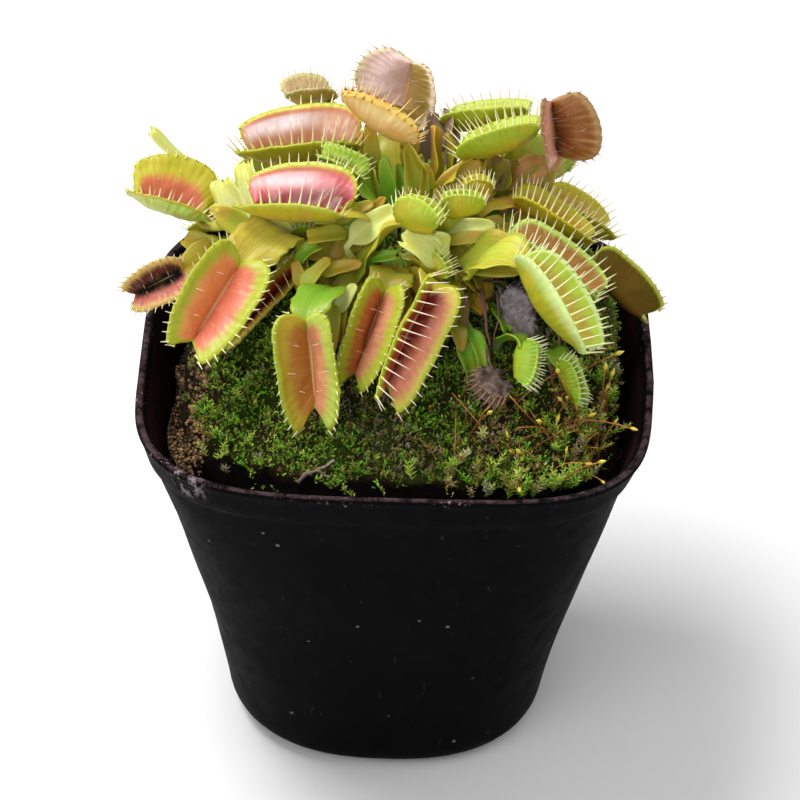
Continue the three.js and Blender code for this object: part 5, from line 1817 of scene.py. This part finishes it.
def add_blade(shape, draw, root, foot, tip, width, bow, cut):
    """A folded blade on a narrow stem, which rises from its root and broadens from foot to tip."""
    reach = tip - foot
    rise = np.linalg.norm(foot - root)
    outward = unit((lerp(foot, tip, 0.5) - CROWN) * FLAT)
    facing = unit(UP + outward * 0.8 + draw.normal(0, 0.16, 3))
    stem = bezier(root, root + UP * rise * 0.5, foot - reach * 0.3, foot, np.linspace(0, 1, 7)[:-1])
    steps = np.linspace(0, 1, 15)
    body = bezier(foot, foot + reach * 0.33 + facing * bow, foot + reach * 0.7 + facing * bow, tip, steps)
    path = np.concatenate([stem, body])
    t = np.concatenate([np.zeros(len(stem)), steps])
    heading = unit(np.gradient(path, axis=0))
    across = unit(np.cross(heading, facing))
    normal = np.cross(across, heading)
    pointed = 1.25 * np.sin(math.pi / 2 * np.clip(t / 0.3, 0, 1)) * np.clip(1 - t, 0, 1) ** 0.72
    blunt = np.sin(math.pi / 2 * np.clip(t / 0.5, 0, 1)) * (1 - 0.25 * t**3)
    half = BLADE_STEM + (width / 2 - BLADE_STEM) * np.clip(lerp(pointed, blunt, cut), 0, 1)
    half[-1] *= lerp(0.25, 1.0, cut)
    s = np.linspace(-1, 1, BLADE_COLUMNS)
    u = s * half[:, None]
    beats = np.sin(8 * t[:, None] + draw.uniform(0, 6) + s) * s**2
    wave = BLADE_FOLD * np.abs(u) ** 1.2 + BLADE_WAVE * width * beats
    torn = cut * BLADE_TORN * width * draw.normal(0, 1, BLADE_COLUMNS) * smoothstep(0.75, 1.0, t)[:, None]
    thick = BLADE_THICK * np.sqrt(np.clip(1.05 - np.abs(s) ** 3, 0, 1))
    middle = path[:, None, :] + across[:, None, :] * u[..., None] + heading[:, None, :] * torn[..., None]
    below = thick + BLADE_KEEL * ridge(s, BLADE_KEEL_HALF)
    points, faces = capped(faced(middle, normal, wave + thick, wave - below))
    run = np.concatenate([np.linspace(0, 0.2, len(stem)), 0.2 + 0.8 * steps])
    rim = np.tile(np.concatenate([np.abs(s), np.abs(s[::-1])]), len(path))
    shape.add(points, faces, run=np.repeat(run, 2 * BLADE_COLUMNS), rim=rim, inside=0.0, lobe=0.0)


def on_moss(x, y, sunk=1.0):
    """A place on the solid cushion, or sunk below its surface."""
    return np.array([x, y, moss_surface(x, y) - sunk])


def build_young_blades(settings):
    """The blades seen at the crown, and older ones lying low on the moss under the traps."""
    draw = np.random.default_rng(91)
    shapes = {}
    for foot, tip, width, bow, cut, look in BLADES:
        foot, tip = np.array(foot), np.array(tip)
        root = on_moss(*lerp(foot[:2], CROWN_HEART, 0.22))
        add_blade(shapes.setdefault(look, Shape()), draw, root, foot, tip, width, bow, cut)
    lobes = lobe_places()
    for _ in range(settings.low_blades):
        angle = draw.uniform(0, 2 * math.pi)
        out = np.array([math.cos(angle), math.sin(angle), 0.0])
        root = on_moss(*(CROWN_HEART + out[:2] * CROWN_REACH * draw.uniform(0.25, 1.0)))
        foot = root + UP * draw.uniform(2.5, 4.5) + out * draw.uniform(0.5, 2)
        tip = foot + (out + draw.normal(0, 0.35, 3) * FLAT) * draw.uniform(5, 9)
        tip[2] = max(on_moss(*tip[:2], 0.0)[2], PEAT_TOP + 4) + draw.uniform(1.2, 4.5)
        width, bow, cut = draw.uniform(3, 5.5), draw.uniform(0.5, 2), draw.uniform(0.0, 0.5)
        look = LOW_BLADE_SKINS[int(draw.integers(len(LOW_BLADE_SKINS)))]
        own = np.random.default_rng(int(draw.integers(1 << 30)))
        probes = [lerp(foot, tip, share) for share in (0.2, 0.6, 1.0)]
        if min(lobes.find(probe)[2] for probe in probes) >= BLADE_CLEARANCE:
            add_blade(shapes.setdefault(look, Shape()), own, root, foot, tip, width, bow, cut)
    for look, shape in shapes.items():
        tissue = leaf_paint(f"young_blade_{look}", SKINS[look], 3.0)
        add_piece(shape, f"young_blades_{look}", tissue, "leaf_green")


def lobe_places():
    """A search tree over points of every lobe."""
    points = []
    for number, row in enumerate(LEAVES):
        leaf = Leaf(row, number)
        shares = np.linspace(0.05, 0.95, 8)
        for out in (0.2, 0.5, 0.8, 1.0):
            points += [leaf.on_lobe(shares, out, hand)[0] for hand in (-1.0, 1.0)]
    points = np.concatenate(points)
    tree = KDTree(len(points))
    for number, point in enumerate(points):
        tree.insert(point, number)
    tree.balance()
    return tree


def build_leaves(settings):
    """Every leaf as one piece, standing for its solid."""
    slots = {row["node"]: row["material_slot"] for row in frame["record"]["subparts"]}
    for number, row in enumerate(LEAVES):
        leaf = Leaf(row, number)
        shape = Shape()
        add_lobes(shape, leaf, settings)
        add_teeth(shape, leaf, settings)
        if not SKINS[row["skin"]]["dead"]:
            add_trigger_hairs(shape, leaf)
        add_stalk(shape, leaf, settings)
        finish = leaf_paint(f"tissue_{row['name'][5:]}", SKINS[row["skin"]], float(number))
        add_piece(shape, f"fine_{row['name']}", finish, slots[row["name"]], row["name"])


# Stage: the view's angles and distance, then each lamp's name, place and size and their target, in metres
VIEW_HEIGHT = math.radians(34.66)
VIEW_ROLL = math.radians(2.08)
VIEW_DISTANCE = 705.7
VIEW_TARGET = np.array([0.9, 0.0, 61.5])
VIEW_LENS = 179.1
LAMPS = (
    ("key", (-0.25, 0.10, 0.62), 0.34),
    ("fill", (-0.30, -0.60, 0.45), 0.6),
    ("side", (0.55, -0.05, 0.40), 0.5),
)
LAMP_TARGET = np.array([0.0, 0.0, 0.08])


def build_stage(settings):
    """The floor, the even light, the lamps and the camera."""
    scene = bpy.context.scene
    bpy.ops.mesh.primitive_plane_add(size=4.0)
    floor = bpy.context.object
    floor.name = "floor"
    paint = Paint("floor_paint", 0.8, 0.2)
    grain = paint.noise(6.0, detail=2.0)
    paint.colour(paint.mix(paint.span(grain, 0.3, 0.7, 0.0, 0.05), tuple(settings.floor), (0.8, 0.8, 0.8)))
    floor.data.materials.append(paint.material)

    world = bpy.data.worlds.new("studio")
    world.use_nodes = True
    background = world.node_tree.nodes["Background"]
    background.inputs["Color"].default_value = (1.0, 1.0, 1.0, 1.0)
    background.inputs["Strength"].default_value = settings.ambient
    scene.world = world

    scene.view_settings.view_transform = "Standard"
    for name, place, size in LAMPS:
        light = bpy.data.lights.new(name, "AREA")
        light.size = size
        light.energy = getattr(settings, name)
        lamp = bpy.data.objects.new(name, light)
        scene.collection.objects.link(lamp)
        lamp.matrix_world = looking(place, unit(np.array(place) - LAMP_TARGET), UP)

    back = np.array([0, -math.cos(VIEW_HEIGHT), math.sin(VIEW_HEIGHT)])
    level = math.cos(VIEW_ROLL)
    top = np.array([-math.sin(VIEW_ROLL), math.sin(VIEW_HEIGHT) * level, math.cos(VIEW_HEIGHT) * level])
    data = bpy.data.cameras.new("camera")
    data.lens = VIEW_LENS
    data.sensor_width = 36.0
    data.clip_start = 0.01
    data.clip_end = 10.0
    camera = bpy.data.objects.new("camera", data)
    scene.collection.objects.link(camera)
    camera.matrix_world = looking((VIEW_TARGET + back * VIEW_DISTANCE) * MM, back, top)
    scene.camera = camera


def looking(place, back, top):
    """The matrix of a lamp or camera at place, in metres, facing away from back with its top toward top."""
    right = unit(np.cross(top, back))
    top = np.cross(back, right)
    matrix = np.eye(4)
    matrix[:3, :3] = np.column_stack([right, top, back])
    matrix[:3, 3] = place
    return Matrix(matrix.tolist())


# Settings
def number_property(name, text, value, **kind):
    return bpy.props.FloatProperty(name=name, description=text, default=value, min=0.0, **kind)


def length_property(name, text, size):
    """A length, given in mm and kept in metres."""
    return number_property(name, text, size * MM, precision=5, unit="LENGTH")


def share_property(name, text, share):
    return number_property(name, text, share, max=1.0, subtype="FACTOR")


def power_property(name, text, power):
    return number_property(name, text, power, unit="POWER")


def colour_property(name, text, colour):
    return bpy.props.FloatVectorProperty(
        name=name, description=text, default=colour, min=0.0, max=1.0, subtype="COLOR"
    )


def count_property(name, text, count):
    return bpy.props.IntProperty(name=name, description=text, default=count, min=0)


class FlytrapPotSettings(bpy.types.PropertyGroup):
    wall: length_property("Wall", "Thickness of the pot's wall", POT_WALL)
    lip: length_property("Lip", "Radius of the rounded rim", 0.85)
    unevenness: length_property("Unevenness", "How far the soft wall bulges and sags", 0.35)
    plastic: colour_property("Plastic", "Colour of the plastic", (0.0026, 0.0024, 0.0027))
    # The rim line's colour and strength: partly scuffs, partly a painted highlight along the rim's top edge.
    scuff_and_highlight: colour_property("Scuffs", "Colour of the worn rim", (0.085, 0.05, 0.056))
    wear: share_property("Wear", "How much of the rim's edge is worn", 0.8)


class FlytrapPeatSettings(bpy.types.PropertyGroup):
    roughness: length_property("Roughness", "Height of the clods on the peat", 0.7)
    crumbs: count_property("Crumbs", "Loose crumbs on the peat", 520)
    heaped: count_property("Heaped crumbs", "Brown crumbs against the left wall", 1000)


class FlytrapMossSettings(bpy.types.PropertyGroup):
    shoots: count_property("Shoots", "Small shoots over the cushion", 18500)
    shoot_height: length_property("Shoot height", "Usual height of a shoot", 1.35)
    right_stems: count_property("Tall stems", "Taller leafy stems at the right", 84)
    stem_height: length_property("Tall height", "Usual height of a tall stem", 5.5)
    stalks: count_property("Spore stalks", "Wiry stems in the largest group", 44)
    stalk_height: length_property("Stalk height", "Usual height of a spore stalk", 12.0)
    roots: count_property("Roots", "Loose root fibres on the peat", 60)


class FlytrapLeafSettings(bpy.types.PropertyGroup):
    blade: length_property("Blade", "Thickness of a lobe", 0.62)
    pad: share_property("Pad", "Swelling of a lobe's inner face, as a share of its width", 0.12)
    lip_flare: length_property("Lip flare", "How far the margin turns outward", 0.35)
    unevenness: length_property("Unevenness", "Height of the waves over a lobe", 0.22)
    lip: length_property("Lip", "Height of the swollen line inside a lobe's margin", 0.22)
    bead: length_property("Bead", "Radius of the bead at a tooth's root", 0.31)
    tooth_width: length_property("Tooth width", "Width of a tooth near its root", 0.34)
    tooth_bend: share_property("Tooth bend", "Inward bend of a tooth, as a share of its length", 0.1)
    low_blades: count_property("Low blades", "Older blades tried under the traps", 170)
    wing_wave: share_property("Wing wave", "Waves along the stalk's wings, as a share of their width", 0.16)


class FlytrapStageSettings(bpy.types.PropertyGroup):
    floor: colour_property("Floor", "Colour of the floor", (0.86, 0.86, 0.86))
    ambient: number_property("Ambient", "Strength of the even light", 0.46)
    key: power_property("Key", "Power of the lamp above", 4.2)
    fill: power_property("Fill", "Power of the lamp in front", 2.4)
    side: power_property("Side", "Power of the lamp at the right", 0.7)


# Operators
class FlytrapPot(bpy.types.Operator):
    """Build the pot's shell with its rounded rim and drain holes"""

    bl_idname = "flytrap.pot"
    bl_label = "Pot"

    def execute(self, context):
        build_pot(in_mm(context.scene.flytrap_pot))
        return {"FINISHED"}


class FlytrapPeat(bpy.types.Operator):
    """Build the peat and its crumbs"""

    bl_idname = "flytrap.peat"
    bl_label = "Peat"

    def execute(self, context):
        build_peat(in_mm(context.scene.flytrap_peat))
        return {"FINISHED"}


class FlytrapMoss(bpy.types.Operator):
    """Build the moss cushion with its shoots and taller stems"""

    bl_idname = "flytrap.moss"
    bl_label = "Moss"

    def execute(self, context):
        settings = in_mm(context.scene.flytrap_moss)
        build_moss_bed()
        build_moss_shoots(settings)
        build_tall_moss(settings)
        return {"FINISHED"}


class FlytrapSporeStalks(bpy.types.Operator):
    """Build the wiry stems and their spore capsules"""

    bl_idname = "flytrap.spore_stalks"
    bl_label = "Spore stalks"

    def execute(self, context):
        build_spore_stalks(in_mm(context.scene.flytrap_moss))
        return {"FINISHED"}


class FlytrapLitter(bpy.types.Operator):
    """Build the roots, the twig and the withered stalks"""

    bl_idname = "flytrap.litter"
    bl_label = "Litter"

    def execute(self, context):
        build_roots(context.scene.flytrap_moss.roots)
        build_twig()
        build_withered()
        return {"FINISHED"}


class FlytrapLeaves(bpy.types.Operator):
    """Build every leaf with its stalk, lobes, teeth and trigger hairs"""

    bl_idname = "flytrap.leaves"
    bl_label = "Leaves"

    def execute(self, context):
        build_leaves(in_mm(context.scene.flytrap_leaf))
        return {"FINISHED"}


class FlytrapYoungBlades(bpy.types.Operator):
    """Build the small blades at the crown"""

    bl_idname = "flytrap.young_blades"
    bl_label = "Young blades"

    def execute(self, context):
        build_young_blades(in_mm(context.scene.flytrap_leaf))
        return {"FINISHED"}


class FlytrapStage(bpy.types.Operator):
    """Set up the floor, the lamps and the camera"""

    bl_idname = "flytrap.stage"
    bl_label = "Stage"

    def execute(self, context):
        build_stage(context.scene.flytrap_stage)
        return {"FINISHED"}


OPERATORS = (
    FlytrapStage,
    FlytrapPot,
    FlytrapPeat,
    FlytrapMoss,
    FlytrapSporeStalks,
    FlytrapLitter,
    FlytrapLeaves,
    FlytrapYoungBlades,
)
SETTINGS = {
    "flytrap_pot": FlytrapPotSettings,
    "flytrap_peat": FlytrapPeatSettings,
    "flytrap_moss": FlytrapMossSettings,
    "flytrap_leaf": FlytrapLeafSettings,
    "flytrap_stage": FlytrapStageSettings,
}


class FlytrapPanel(bpy.types.Panel):
    bl_idname = "VIEW3D_PT_flytrap"
    bl_label = "Flytrap"
    bl_space_type = "VIEW_3D"
    bl_region_type = "UI"
    bl_category = "Flytrap"

    def draw(self, context):
        for operator in OPERATORS:
            self.layout.operator(operator.bl_idname)
        for name, group in SETTINGS.items():
            box = self.layout.box()
            for setting in group.__annotations__:
                box.prop(getattr(context.scene, name), setting)


def register():
    for group in SETTINGS.values():
        bpy.utils.register_class(group)
    for operator in OPERATORS:
        bpy.utils.register_class(operator)
    bpy.utils.register_class(FlytrapPanel)
    for name, group in SETTINGS.items():
        setattr(bpy.types.Scene, name, bpy.props.PointerProperty(type=group))


def unregister():
    for name in SETTINGS:
        delattr(bpy.types.Scene, name)
    bpy.utils.unregister_class(FlytrapPanel)
    for operator in reversed(OPERATORS):
        bpy.utils.unregister_class(operator)
    for group in reversed(SETTINGS.values()):
        bpy.utils.unregister_class(group)


def main():
    register()
    for operator in OPERATORS:
        group, name = operator.bl_idname.split(".")
        getattr(getattr(bpy.ops, group), name)()


if __name__ == "__main__":
    main()
